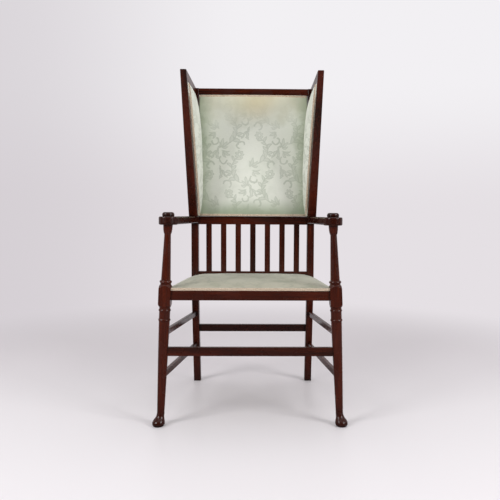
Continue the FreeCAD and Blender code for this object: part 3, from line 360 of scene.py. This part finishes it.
def damask(name, across, up, shiftAcross, shiftUp, stainAndSideShade=None, shade=None, shadedSeat=False):
    # across and up give the pattern's two directions as weights of x, y and z; the shifts are in millimetres
    look = damaskLook
    material, sheet = newMaterial(name)
    where = sheet.place()
    sideX, sideY, sideZ = sheet.sides(where)

    def spread(weights, shift):
        total = None
        for weight, side in zip(weights, (sideX, sideY, sideZ)):
            if weight:
                part = side * (weight * 1000)
                total = part if total is None else total + part
        return total + shift

    flatU = spread(across, shiftAcross)
    flatV = spread(up, shiftUp)
    uneven = {"Vector": where, "Scale": look["wobbleScale"], "Detail": 3.5}
    wander = sheet.node("ShaderNodeTexNoise", {}, uneven, out="Color")
    wanderX, wanderY = sheet.sides(wander)[:2]
    u = flatU / look["scale"] + (wanderX - 0.5) * look["wobble"] * 2
    v = flatV / look["scale"] + (wanderY - 0.5) * look["wobble"] * 2
    wide, tall = look["repeatWide"], look["repeatTall"]
    column = (u / wide).floor()
    dropped = v + (column % 2) * (tall / 2)
    row = (dropped / tall).floor()
    flip = 1.0 - ((row + column) % 2) * 2
    x = (u - (column + 0.5) * wide) * flip
    y = dropped - (row + 0.5) * tall
    shape = sprig(x, y)
    shape = shape.larger(fan(x, y, 38.0, 2.0, math.radians(-40)))
    shape = shape.larger(fan(x, y, -38.0, -46.0, math.radians(80)))
    shape = shape.larger(fan(x, y, 34.0, 54.0, math.radians(165)))
    inside = shape.ramp(-0.7, 0.9)
    heart = shape.ramp(1.3, 3.2)
    slub = sheet.noise(sheet.vector("MULTIPLY", where, (0.5, 0.5, 6.0)), look["slubScale"], 3.0, 0.6)
    # the drawing is worn in patches, and most of all at head height
    strength = sheet.noise(where, 6.0, 2.0).ramp(0.34, 0.6, 0.6, 1.0) * sideZ.ramp(0.99, 1.12, 1.0, 0.3)
    tone = sheet.mix(heart * 0.85, look["motif"], look["vein"])
    tone = sheet.mix(inside * strength, look["ground"], tone)
    tone = sheet.mix(slub.ramp(0.35, 0.7, 0.0, 0.14), tone, look["motif"])
    cloud = sheet.noise(where, look["cloudScale"], 3.0, 0.6)
    # random darker blotches, stronger on the seat
    tone = sheet.mix(cloud.ramp(0.5, 0.68, 0.0, 0.4 if shadedSeat else 0.15), tone, look["blotchAndShade"])
    # painted shade: the seat's copy of the cloth darker all over
    if shadedSeat:
        tone = sheet.vector("MULTIPLY", tone, look["shadedSeat"])
    ragged = cloud - 0.5
    if stainAndSideShade:
        # yellow below the top rail, painted shade beside the wings, and one brown stain
        upper = (sideZ + ragged * 0.14).ramp(1.01, 1.13, 0.0, 0.65)
        tone = sheet.mix(upper, tone, look["yellowed"])
        outer = (abs(sideX) + ragged * 0.06).ramp(0.145, 0.212, 0.0, 0.7)
        tone = sheet.mix(outer, tone, look["blotchAndShade"])
        ends = {0: where, 1: stainAndSideShade["middle"]}
        gap = sheet.node("ShaderNodeVectorMath", {"operation": "DISTANCE"}, ends, out="Value")
        spot = (gap + ragged * 0.12).ramp(0.0, stainAndSideShade["reach"], stainAndSideShade["most"], 0.0)
        tone = sheet.mix(spot, tone, look["aged"])
    if shade:
        lower = (sideZ + ragged * 0.05).ramp(shade["low"], shade["high"], shade["most"], 0.0)
        tone = sheet.mix(lower, tone, look["blotchAndShade"])
    weave = (flatU * look["thread"]).sine() * (flatV * look["thread"]).sine()
    height = inside * 0.5 + slub * 0.3 + weave * 0.12
    sheet.surface(Base_Color=tone, Roughness=0.62 - inside * 0.14 + slub * 0.1, Sheen_Weight=look["sheen"],
                  Sheen_Roughness=0.45, Sheen_Tint=(0.95, 1.0, 0.92, 1.0), IOR=1.4,
                  Normal=sheet.bump(height, 0.22, 0.0005))
    return material


gimpLook = {
    "light": colour(214, 198, 176),
    "dark": colour(168, 146, 122),
    "width": 0.0095,
    "thickness": 0.0016,
    "scallop": 0.0062,       # one loop of the braid
    "lanes": 9,              # rows of points across the braid
    "wave": 0.09,            # how far the edges swing, as a share of half the width
    "sunk": 0.0006,          # how far the edges are sewn into the cloth
    "step": 0.0011,          # between two rows of points along the braid
}


def gimpBraid():
    material, sheet = newMaterial("gimpBraid")
    where = sheet.place()
    twist = sheet.noise(where, 420.0, 2.0)
    cells = {"Vector": where, "Scale": 520.0}
    plait = sheet.node("ShaderNodeTexVoronoi", {"feature": "F1"}, cells, out="Distance")
    tone = sheet.mix(twist.ramp(0.35, 0.65), gimpLook["dark"], gimpLook["light"])
    sheet.surface(Base_Color=tone, Roughness=0.75 + twist * 0.1, Sheen_Weight=0.3,
                  Normal=sheet.bump(plait * 0.6 + twist * 0.4, 0.5, 0.0006))
    return material


juteLook = {"straw": colour(176, 146, 98), "shade": colour(116, 92, 58), "thread": 1500.0}


def jute(name, along):
    material, sheet = newMaterial(name)
    where = sheet.place()
    sides = sheet.sides(where)
    length, width = sides[along], sides[0 if along else 1]
    weave = (length * juteLook["thread"]).sine() * (width * juteLook["thread"]).sine()
    hair = sheet.noise(where, 300.0, 3.0, 0.65)
    tone = sheet.mix((weave * 0.25 + hair).ramp(0.25, 0.75), juteLook["shade"], juteLook["straw"])
    normal = sheet.bump(weave * 0.6 + hair, 0.6, 0.0008)
    sheet.surface(Base_Color=tone, Roughness=0.86 + hair * 0.08, Normal=normal)
    return material


dressTimber()
birchWood = birch()
for side in ("left", "right"):
    block = nodes["seat_corner_blocks_" + side]
    block.data.materials.clear()
    block.data.materials.append(birchWood)
print("stage: timber dressed")


# The leaning back and the raking wings: two levels above the floor, and where each face stands at them
lean = {
    "low": 0.672, "high": 1.17,
    "postLow": 0.17075, "postHigh": 0.20225,
    "stileLow": 0.13375, "stileHigh": -0.04775,
    "wingLow": 0.208, "wingHigh": 0.2238,
}

# The wooden edges to which the covers are tacked
edges = {
    "half": 0.213, "bottom": 0.672, "top": 1.145, "wingTop": 1.1395,
    "seatFront": -0.244, "seatRear": 0.173,
    "seatHalf": 0.29, "seatTaper": 0.11,     # half the seat's width at its front, and its loss per metre
    "seatLow": 0.429,
}


def atHeight(z, low, high):
    return low + (high - low) * (z - lean["low"]) / (lean["high"] - lean["low"])


def postFace(z):
    return atHeight(z, lean["postLow"], lean["postHigh"])


def stileBack(z):
    return atHeight(z, lean["stileLow"], lean["stileHigh"])


def wingFace(z):
    return atHeight(z, lean["wingLow"], lean["wingHigh"])


def smooth(low, high, value):
    share = max(0.0, min(1.0, (value - low) / (high - low)))
    return share * share * (3 - 2 * share)


# Stuffed pieces: each starts from its own node, slightly slack, and is blown up against its tacked edges
cushions = {
    "backCushion": {"node": "back_pad", "voxel": 0.005, "pressure": 4.0, "cap": 0.006, "fill": 0.75,
                    "pull": 0.0009},
    "seatCushion": {"node": "seat_pad", "voxel": 0.005, "pressure": 4.0, "cap": 0.0045, "fill": 0.8,
                    "pull": 0.0011, "base": 0.4213, "slack": 0.88},
    "wingCushionRight": {"node": "wing_pad_right", "voxel": 0.0045, "pressure": 4.0, "cap": 0.005,
                         "fill": 0.7, "pull": 0.0008},
}
clothPlan = {"quality": 6, "mass": 0.25, "stretch": 12, "shear": 4, "bending": 0.6, "frames": 20}
puckers = {
    "reach": 0.03,           # how far from the tacks the cover is drawn in
    "pitch": 0.034,          # from one pucker to the next
    "rough": 30,             # how finely their places vary, per metre
    "lumps": 0.0009,         # height of the uneven stuffing
    "lumpScale": 16,
}


def heldBack(point):
    # the cover is tacked at the rear and along all four edges
    depth = point.y - postFace(point.z)
    rim = min(edges["half"] - abs(point.x), point.z - edges["bottom"], edges["top"] - point.z)
    return max(smooth(0.001, 0.006, depth), smooth(0.012, 0.004, rim))


def heldSeat(point):
    rim = min(point.y - edges["seatFront"], edges["seatRear"] - point.y)
    crown = smooth(0.012, 0.004, rim) * smooth(0.46, 0.44, point.z)
    return max(smooth(edges["seatLow"], 0.424, point.z), crown)


def heldWing(point):
    depth = abs(point.x) - wingFace(point.z)
    rim = min(point.y - stileBack(point.z), postFace(point.z) - point.y,
              point.z - edges["bottom"], edges["wingTop"] - point.z)
    return max(smooth(-0.002, 0.003, depth), smooth(0.012, 0.004, rim))


def edgeOf(node, point):
    # distance to the tacked edge and a running length along it
    if node == "back_pad":
        sides = ((edges["half"] - abs(point.x), point.z), (edges["top"] - point.z, point.x),
                 (point.z - edges["bottom"], point.x))
    elif node == "seat_pad":
        depth = point.y - edges["seatFront"]
        sides = ((depth, point.x), (edges["seatHalf"] - abs(point.x) - edges["seatTaper"] * depth, point.y))
    else:
        sides = ((point.y - stileBack(point.z), point.z), (edges["wingTop"] - point.z, point.y),
                 (point.z - edges["bottom"], point.y))
    return min(sides)


holders = {"back_pad": heldBack, "seat_pad": heldSeat, "wing_pad_right": heldWing}


def applyModifiers(piece):
    graph = bpy.context.evaluated_depsgraph_get()
    mesh = bpy.data.meshes.new_from_object(piece.evaluated_get(graph))
    old = piece.data
    piece.modifiers.clear()
    piece.data = mesh
    bpy.data.meshes.remove(old)


def newPiece(name, mesh):
    piece = bpy.data.objects.new(name, mesh)
    bpy.context.scene.collection.objects.link(piece)
    return piece


def meshPiece(name, mesh, material, rounded=True):
    # turns a finished bmesh into an object with one material
    data = bpy.data.meshes.new(name)
    mesh.to_mesh(data)
    mesh.free()
    data.materials.append(material)
    for polygon in data.polygons:
        polygon.use_smooth = rounded
    return newPiece(name, data)


def subdivided(piece):
    subdivide = piece.modifiers.new("subdivide", "SUBSURF")
    subdivide.levels = 1
    subdivide.render_levels = 1


def blownUp(piece, held, pressure):
    # the cover swells against its tacks under the pressure of the stuffing
    group = piece.vertex_groups.new(name="tacked")
    for vertex in piece.data.vertices:
        group.add([vertex.index], held(vertex.co), "REPLACE")
    cloth = piece.modifiers.new("cloth", "CLOTH")
    settings = cloth.settings
    settings.quality = clothPlan["quality"]
    settings.mass = clothPlan["mass"]
    settings.tension_stiffness = clothPlan["stretch"]
    settings.compression_stiffness = clothPlan["stretch"]
    settings.shear_stiffness = clothPlan["shear"]
    settings.bending_stiffness = clothPlan["bending"]
    settings.use_pressure = True
    settings.uniform_pressure_force = pressure
    settings.vertex_group_mass = "tacked"
    settings.effector_weights.gravity = 0
    cloth.collision_settings.use_collision = False
    scene = bpy.context.scene
    for count in range(1, clothPlan["frames"] + 1):
        scene.frame_set(count)
    applyModifiers(piece)
    scene.frame_set(1)


def stuffed(name, plan):
    piece = newPiece(name, nodes[plan["node"]].data.copy())
    remesh = piece.modifiers.new("remesh", "REMESH")
    remesh.mode = "VOXEL"
    remesh.voxel_size = plan["voxel"]
    applyModifiers(piece)
    relax = piece.modifiers.new("relax", "SMOOTH")
    relax.factor = 0.5
    relax.iterations = 3
    applyModifiers(piece)
    held = holders[plan["node"]]
    mesh = piece.data
    if "slack" in plan:
        # the crown starts lower and is blown up to its height
        for vertex in mesh.vertices:
            vertex.co.z = plan["base"] + (vertex.co.z - plan["base"]) * plan["slack"]
    start = [vertex.co.copy() for vertex in mesh.vertices]
    blownUp(piece, held, plan["pressure"])
    mesh = piece.data
    swell = max((a.co - b).length for a, b in zip(mesh.vertices, start))
    outward = [vertex.normal.copy() for vertex in mesh.vertices]
    for vertex, before, normal in zip(mesh.vertices, start, outward):
        moved = vertex.co - before
        if moved.length > plan["cap"]:
            moved *= plan["cap"] / moved.length
        free = 1.0 - held(before)
        near, run = edgeOf(plan["node"], before)
        swing = run * 2 * math.pi / puckers["pitch"] + 2 * noise.noise(before * puckers["rough"])
        drawn = math.exp(-max(0.0, near) / puckers["reach"]) * math.sin(swing)
        lumps = noise.noise(before * puckers["lumpScale"]) * puckers["lumps"] * free
        vertex.co = before + moved + normal * (plan["pull"] * drawn * (0.3 + 0.7 * free) + lumps)
    for polygon in mesh.polygons:
        polygon.use_smooth = True
    subdivided(piece)
    print("stage: %s stuffed, %d points, swelled %.1f mm" % (name, len(mesh.vertices), swell * 1000))
    return piece


def mirrorPiece(name, source):
    mesh = source.data.copy()
    for vertex in mesh.vertices:
        vertex.co.x = -vertex.co.x
    mesh.flip_normals()
    piece = newPiece(name, mesh)
    subdivided(piece)
    return piece


def finishSoft(piece, node, material):
    piece.data.materials.clear()
    piece.data.materials.append(material)
    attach(piece, "root")
    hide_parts(node)


# Where each cloth is cut from the drawing, its stains and the painted shade beside the wings, and its painted
# shade above the lower edge
backDamask = damask("damaskBack", (1, 0, 0), (0, 0, 1), 14.0, 38.0,
                    stainAndSideShade={"middle": (0.005, 0.18, 1.125), "reach": 0.12, "most": 0.5},
                    shade={"low": 0.676, "high": 0.755, "most": 0.95})
seatDamask = damask("damaskSeat", (1, 0, 0), (0, 1, -1), 30.0, 12.0, shadedSeat=True)
wingDamask = damask("damaskWing", (0, 1, 0), (0, 0, 1), 20.0, 60.0,
                    shade={"low": 0.668, "high": 0.74, "most": 0.6})
backCushion = stuffed("backCushion", cushions["backCushion"])
finishSoft(backCushion, "back_pad", backDamask)
seatCushion = stuffed("seatCushion", cushions["seatCushion"])
finishSoft(seatCushion, "seat_pad", seatDamask)
wingRight = stuffed("wingCushionRight", cushions["wingCushionRight"])
wingLeft = mirrorPiece("wingCushionLeft", wingRight)
for piece, side in ((wingRight, "right"), (wingLeft, "left")):
    finishSoft(piece, "wing_pad_" + side, wingDamask)


def surfaceOf(piece):
    graph = bpy.context.evaluated_depsgraph_get()
    shown = piece.evaluated_get(graph)
    mesh = shown.to_mesh()
    tree = BVHTree.FromPolygons([vertex.co.copy() for vertex in mesh.vertices],
                                [tuple(polygon.vertices) for polygon in mesh.polygons])
    shown.to_mesh_clear()
    return tree


def settle(tree, point, direction):
    # drops a point onto a cushion along a direction, or leaves it where it is
    ahead, reach = 0.08, 0.2
    hit = tree.ray_cast(point - direction * ahead, direction, reach)[0]
    return hit or point


def braid(name, points, normals, material):
    # a flat plait laid on the cloth: scalloped edges and two raised cords
    look = gimpLook
    mesh = bmesh.new()
    rows = []
    run = 0.0
    lanes = look["lanes"]
    for index, (point, normal) in enumerate(zip(points, normals)):
        before = points[max(0, index - 1)]
        after = points[min(len(points) - 1, index + 1)]
        run += (point - before).length
        along = (after - before).normalized()
        outward = normal.normalized()
        across = along.cross(outward).normalized()
        swing = 2 * math.pi * run / look["scallop"]
        wave = look["wave"] * math.sin(swing)
        row = []
        for lane in range(lanes):
            share = lane / (lanes - 1) * 2 - 1
            half = look["width"] / 2 * (1 + wave * (1 if share > 0 else -1))
            cord = math.exp(-((abs(share) - 0.5) / 0.22) ** 2)
            plait = 0.25 * math.sin(swing * 2 + share * 5)
            lift = -look["sunk"]
            if 0 < lane < lanes - 1:
                lift = look["thickness"] * (0.45 + 0.45 * cord + 0.2 * plait)
            row.append(mesh.verts.new(point + across * share * half + outward * lift))
        rows.append(row)
    for first, second in zip(rows, rows[1:]):
        for lane in range(lanes - 1):
            mesh.faces.new((first[lane], first[lane + 1], second[lane + 1], second[lane]))
        mesh.faces.new((first[lanes - 1], first[0], second[0], second[lanes - 1]))
    mesh.faces.new(rows[0])
    mesh.faces.new(rows[-1])
    bmesh.ops.recalc_face_normals(mesh, faces=mesh.faces)
    piece = meshPiece(name, mesh, material)
    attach(piece, "root")
    return piece


def path(start, end):
    count = max(2, int((end - start).length / gimpLook["step"]))
    return [start.lerp(end, index / count) for index in range(count + 1)]


gimpMaterial = gimpBraid()
# Where the middle of each braid runs, and how far it stands in from an edge or out from a face
gimpPlan = {
    "low": 0.6777, "backHigh": 1.1393, "backHalf": 0.211,
    "wingInset": 0.003, "wingProud": 0.005, "wingLow": 0.678, "wingHigh": 1.134,
    "bottomFront": 0.014, "bottomRear": 0.006,
    "seatFront": -0.2442, "seatLow": 0.438, "seatEnd": 0.2515,
}


def laidBraid(name, tree, start, end, direction):
    # along the cushion between two points, its own lumps evened out over a few steps
    points = [settle(tree, point, direction) for point in path(start, end)]
    last = len(points) - 1
    steps = range(-3, 4)
    smoothed = []
    for index in range(len(points)):
        around = [points[min(last, max(0, index + step))] for step in steps]
        smoothed.append(sum(around, Vector()) / len(steps))
    return braid(name, smoothed, [-direction] * len(points), gimpMaterial)


def backBraids():
    tree = surfaceOf(backCushion)
    half = gimpPlan["backHalf"]
    for name, height in (("backGimpTop", gimpPlan["backHigh"]), ("backGimpBottom", gimpPlan["low"])):
        depth = postFace(height)
        start, end = Vector((-half, depth, height)), Vector((half, depth, height))
        laidBraid(name, tree, start, end, Vector((0, 1, 0)))


def wingBraids():
    for piece, hand, side in ((wingRight, 1, "Right"), (wingLeft, -1, "Left")):
        tree = surfaceOf(piece)
        outward = Vector((hand, 0, 0))
        aslant = Vector((hand * 0.6, 0.8, 0))

        def spot(z):
            x = hand * (wingFace(z) - gimpPlan["wingProud"])
            return Vector((x, stileBack(z) + gimpPlan["wingInset"], z))

        laidBraid("wingGimpFront" + side, tree, spot(gimpPlan["wingLow"]), spot(gimpPlan["wingHigh"]), aslant)
        low = gimpPlan["low"]
        front = Vector((hand * wingFace(low), stileBack(low) + gimpPlan["bottomFront"], low))
        rear = Vector((hand * wingFace(low), postFace(low) - gimpPlan["bottomRear"], low))
        laidBraid("wingGimpBottom" + side, tree, front, rear, outward)


def seatBraid():
    height = gimpPlan["seatLow"] + gimpLook["width"] / 2
    end, front = gimpPlan["seatEnd"], gimpPlan["seatFront"]
    points = path(Vector((-end, front, height)), Vector((end, front, height)))
    piece = braid("seatGimp", points, [Vector((0, -1, 0))] * len(points), gimpMaterial)
    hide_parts("seat_gimp")


backBraids()
wingBraids()
seatBraid()
print("stage: braid laid")


coverPlan = {
    "backDepth": 0.0188, "wingDepth": 0.0132,    # from the cushions' tacked faces to the covers
    "wingLow": 0.6865, "wingHigh": 1.139,
    "gap": 0.0004, "thickness": 0.0012,
    "bulge": 0.0016, "pucker": 0.0003, "loose": 0.0012,
    "cells": 48,
}


def panel(name, corners, outward, material):
    # a thin cloth panel between four corners, slightly puckered where it is tacked
    plan = coverPlan
    count = plan["cells"]
    mesh = bmesh.new()
    grid = []
    for row in range(count + 1):
        v = row / count
        line = []
        for column in range(count + 1):
            u = column / count
            point = corners[0].lerp(corners[1], u).lerp(corners[3].lerp(corners[2], u), v)
            middle = 16 * u * (1 - u) * v * (1 - v)
            rim = min(u, 1 - u, v, 1 - v)
            pucker = math.exp(-rim * 22) * math.sin((u + v) * 70) * plan["pucker"]
            loose = noise.noise(point * 7) * plan["loose"] * middle
            line.append(mesh.verts.new(point + outward * (plan["bulge"] * middle ** 0.6 + pucker + loose)))
        grid.append(line)
    for lower, upper in zip(grid, grid[1:]):
        for column in range(count):
            mesh.faces.new((lower[column], lower[column + 1], upper[column + 1], upper[column]))
    bmesh.ops.recalc_face_normals(mesh, faces=mesh.faces)
    piece = meshPiece(name, mesh, material)
    body = piece.modifiers.new("thickness", "SOLIDIFY")
    body.thickness = plan["thickness"]
    body.offset = 0
    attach(piece, "root")
    return piece


def outerCovers():
    plan = coverPlan
    gap = plan["gap"]
    low, high, half = edges["bottom"] + gap, edges["top"] - gap, edges["half"] - gap
    corners = []
    for x, z in ((-half, low), (half, low), (half, high), (-half, high)):
        corners.append(Vector((x, postFace(z) + plan["backDepth"], z)))
    outside = damask("damaskOutside", (1, 0, 0), (0, 0, 1), 70.0, 0.0)
    back = panel("backOuterCover", corners, Vector((0, 1, -0.06)), outside)
    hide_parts("back_outer_cover")
    low, high = plan["wingLow"], plan["wingHigh"]
    for hand, side in ((1, "right"), (-1, "left")):
        corners = []
        for z, atRear in ((low, False), (low, True), (high, True), (high, False)):
            y = postFace(z) - gap if atRear else stileBack(z) + gap
            corners.append(Vector((hand * (wingFace(z) + plan["wingDepth"]), y, z)))
        cover = panel("wingOuterCover" + side.capitalize(), corners, Vector((hand, 0, 0)), wingDamask)
        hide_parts("wing_outer_cover_" + side)


outerCovers()


webPlan = {
    "width": 0.05, "thickness": 0.0011, "level": 0.4221,
    "across": (-0.2207, 0.1727), "count": 4,        # first and last edge of the straps that run across
    "front": -0.236, "rear": 0.1727, "along": 3, "pitch": 0.142,
    "frameFront": -0.231, "frameDepth": 0.402, "frontHalf": 0.271, "rearHalf": 0.229,
    "short": 0.003,                                 # how far a strap ends inside the frame's edge
    "weave": 0.0009, "steps": 90,
}


def strap(name, start, end, wide, bumps, material):
    # a woven strap that passes over and under the ones that cross it
    plan = webPlan
    mesh = bmesh.new()
    rows = []
    for index in range(plan["steps"] + 1):
        share = index / plan["steps"]
        point = start.lerp(end, share)
        lift = 0.0
        for middle, sign in bumps:
            lift += sign * plan["weave"] * smooth(0.075, 0.03, abs(share - middle))
        row = []
        for top in (0.0, plan["thickness"]):
            rise = Vector((0, 0, lift + top))
            for side in (-1, -0.5, 0, 0.5, 1):
                row.append(mesh.verts.new(point + wide * side * plan["width"] / 2 + rise))
        rows.append(row)
    # points 0 to 4 lie below, 5 to 9 above them
    lanes = [(base + lane, base + lane + 1) for base in (0, 5) for lane in range(4)] + [(0, 5), (4, 9)]
    for first, second in zip(rows, rows[1:]):
        for near, far in lanes:
            mesh.faces.new((first[near], first[far], second[far], second[near]))
    for row in (rows[0], rows[-1]):
        mesh.faces.new(row[0:5] + row[9:4:-1])
    bmesh.ops.recalc_face_normals(mesh, faces=mesh.faces)
    piece = meshPiece(name, mesh, material, rounded=False)
    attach(piece, "root")
    return piece


def seatWebbing():
    plan = webPlan
    level, front, rear = plan["level"], plan["front"], plan["rear"]
    acrossJute = jute("juteAcross", 0)
    alongJute = jute("juteAlong", 1)
    first, last = plan["across"]
    step = (last - first - plan["width"]) / (plan["count"] - 1)
    middles = [first + plan["width"] / 2 + step * index for index in range(plan["count"])]
    for index, y in enumerate(middles):
        taper = (plan["rearHalf"] - plan["frontHalf"]) * (y - plan["frameFront"]) / plan["frameDepth"]
        half = plan["frontHalf"] + taper - plan["short"]
        bumps = []
        for place in range(plan["along"]):
            over = 1 if (index + place) % 2 else -1
            bumps.append((0.5 + plan["pitch"] * (place - 1) / (2 * half), over))
        left, right = Vector((-half, y, level)), Vector((half, y, level))
        name = "seatStrapAcross%d" % (index + 1)
        strap(name, left, right, Vector((0, 1, 0)), bumps, acrossJute)
    for index in range(plan["along"]):
        x = (index - 1) * plan["pitch"]
        bumps = []
        for place, y in enumerate(middles):
            over = -1 if (place + index) % 2 else 1
            bumps.append(((y - front) / (rear - front), over))
        start, end = Vector((x, front, level)), Vector((x, rear, level))
        name = "seatStrapAlong%d" % (index + 1)
        strap(name, start, end, Vector((1, 0, 0)), bumps, alongJute)
    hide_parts("seat_webbing")
    nodes["back_webbing"].data.materials.clear()
    nodes["back_webbing"].data.materials.append(alongJute)


seatWebbing()
print("stage: covers and webbing made")


# Studio: a pale floor and wall, which the camera sees plain, without lamp shade, away from the chair; their
# light and shade are painted in as gradients
photoCamera = {
    "lens": 38.79, "shift": -0.0387,
    "side": 0.033, "back": -1.9364, "height": 0.67906,
    "pitch": 3.744, "turn": -0.87, "roll": 0.3,
}
studio = {
    "floorNear": colour(236, 232, 235), "floorFarShaded": colour(232, 226, 230),
    "floorSize": 14.0, "floorRoughness": 0.32, "floorShine": 0.35, "floorIndex": 1.35,
    "wallLow": colour(229, 224, 228), "wallHigh": colour(242, 240, 243), "wallPaintedShade": colour(206, 200, 205),
    "roomBehind": (0.03, 0.025, 0.022, 1.0), "roomAhead": (1.0, 0.99, 1.0, 1.0),
    "roomFill": (0.5, 0.49, 0.49, 1.0), "floorMirrored": (0.08, 0.07, 0.07, 1.0),
    "wallMirrored": (0.5, 0.48, 0.49, 1.0),
    "light": 0.6,
}
lamps = {
    "softboxLeft": {"place": (-2.3, -1.9, 1.9), "target": (0, 0, 0.65), "power": 48.0, "size": 1.1},
    "softboxRight": {"place": (2.4, -1.8, 1.8), "target": (0, 0, 0.65), "power": 48.0, "size": 1.1},
    "overhead": {"place": (0.0, -0.3, 3.0), "target": (0, 0.0, 0.5), "power": 24.0, "size": 3.0},
}


def wallColour(sheet, sideways, up):
    # painted light and shade: paler upwards and to the right; sideways is the share of the way from the
    # camera that goes to the right
    if isinstance(up, Wire):
        base = sheet.mix(up.ramp(0.0, 0.24), studio["wallLow"], studio["wallHigh"])
    else:
        base = studio["wallLow"]
    return sheet.mix(sideways.ramp(-0.45, 0.0, 0.68, 0.0), base, studio["wallPaintedShade"])


def makeFloor():
    size = studio["floorSize"]
    mesh = bmesh.new()
    corners = [mesh.verts.new((x * size, y * size, 0)) for x, y in ((-1, -1), (1, -1), (1, 1), (-1, 1))]
    mesh.faces.new(corners)
    material, sheet = newMaterial("studioFloor")
    x, y = sheet.sides(sheet.place())[:2]
    # painted shade: the floor darker towards the back
    paintedFloorShade = sheet.mix(y.ramp(-0.4, 0.95), studio["floorNear"], studio["floorFarShaded"])
    shader = sheet.node("ShaderNodeBsdfPrincipled", {}, {
        "Base Color": paintedFloorShade, "Roughness": studio["floorRoughness"], "IOR": studio["floorIndex"],
        "Specular IOR Level": studio["floorShine"]})
    run = y - photoCamera["back"]
    sideways = x / (x * x + run * run).root().larger(0.2)
    wall = sheet.node("ShaderNodeEmission", {}, {"Color": wallColour(sheet, sideways, 0.0), "Strength": 1.0})
    camera, glossy = sheet.node("ShaderNodeLightPath", {}, {}, out=("Is Camera Ray", "Is Glossy Ray"))
    far = (x * x + y * y).root().ramp(1.0, 2.4)
    shown = sheet.node("ShaderNodeMixShader", {}, {0: far * camera, 1: shader, 2: wall})
    # polished wood shows only a dim floor
    dim = sheet.node("ShaderNodeEmission", {}, {"Color": studio["floorMirrored"], "Strength": 1.0})
    ahead = y.ramp(0.1, 1.2, 0.85, 0.0)
    mirrored = sheet.node("ShaderNodeMixShader", {}, {0: glossy * ahead, 1: shown, 2: dim})
    sheet.node("ShaderNodeOutputMaterial", {}, {"Surface": mirrored}, out=[])
    floor = meshPiece("studioFloor", mesh, material, rounded=False)


def makeWorld():
    world = bpy.data.worlds.new("studioWorld")
    bpy.context.scene.world = world
    sheet = Sheet(world)
    direction = sheet.node("ShaderNodeTexCoord", {}, {}, out="Generated")
    x, y, z = sheet.sides(direction)
    wall = wallColour(sheet, x, z)
    shown = sheet.node("ShaderNodeBackground", {}, {"Color": wall, "Strength": 1.0})
    mirrored = sheet.mix(y.ramp(-0.3, 0.3), studio["roomBehind"], studio["wallMirrored"])
    reflected = sheet.node("ShaderNodeBackground", {}, {"Color": mirrored, "Strength": 1.0})
    room = sheet.mix(y.ramp(-0.35, 0.25), studio["roomFill"], studio["roomAhead"])
    light = sheet.node("ShaderNodeBackground", {}, {"Color": room, "Strength": studio["light"]})
    rays = ("Is Camera Ray", "Is Glossy Ray", "Is Transmission Ray")
    camera, glossy, through = sheet.node("ShaderNodeLightPath", {}, {}, out=rays)
    mixed = sheet.node("ShaderNodeMixShader", {}, {0: glossy, 1: light, 2: reflected})
    seen = sheet.node("ShaderNodeMixShader", {}, {0: camera.larger(through), 1: mixed, 2: shown})
    sheet.node("ShaderNodeOutputWorld", {}, {"Surface": seen}, out=[])


def lamp(name, place, target, power, size):
    data = bpy.data.lights.new(name, "AREA")
    data.shape = "RECTANGLE"
    data.size = size
    data.size_y = size * 1.25
    data.energy = power
    made = bpy.data.objects.new(name, data)
    bpy.context.scene.collection.objects.link(made)
    made.location = place
    made.rotation_mode = "QUATERNION"
    made.rotation_quaternion = (Vector(target) - Vector(place)).to_track_quat("-Z", "Y")


makeFloor()
makeWorld()
for name, plan in lamps.items():
    lamp(name, plan["place"], plan["target"], plan["power"], plan["size"])


def makeCamera():
    plan = photoCamera
    data = bpy.data.cameras.new("photoCamera")
    data.lens = plan["lens"]
    data.sensor_width = 36
    data.shift_x = plan["shift"]
    camera = bpy.data.objects.new("photoCamera", data)
    bpy.context.scene.collection.objects.link(camera)
    camera.location = (plan["side"], plan["back"], plan["height"])
    aimed = Euler((math.radians(90 - plan["pitch"]), 0, math.radians(plan["turn"]))).to_matrix()
    camera.rotation_euler = (aimed @ Matrix.Rotation(math.radians(plan["roll"]), 3, "Z")).to_euler()
    bpy.context.scene.camera = camera


makeCamera()
bpy.context.scene.view_settings.view_transform = "Standard"
print("stage: studio set")
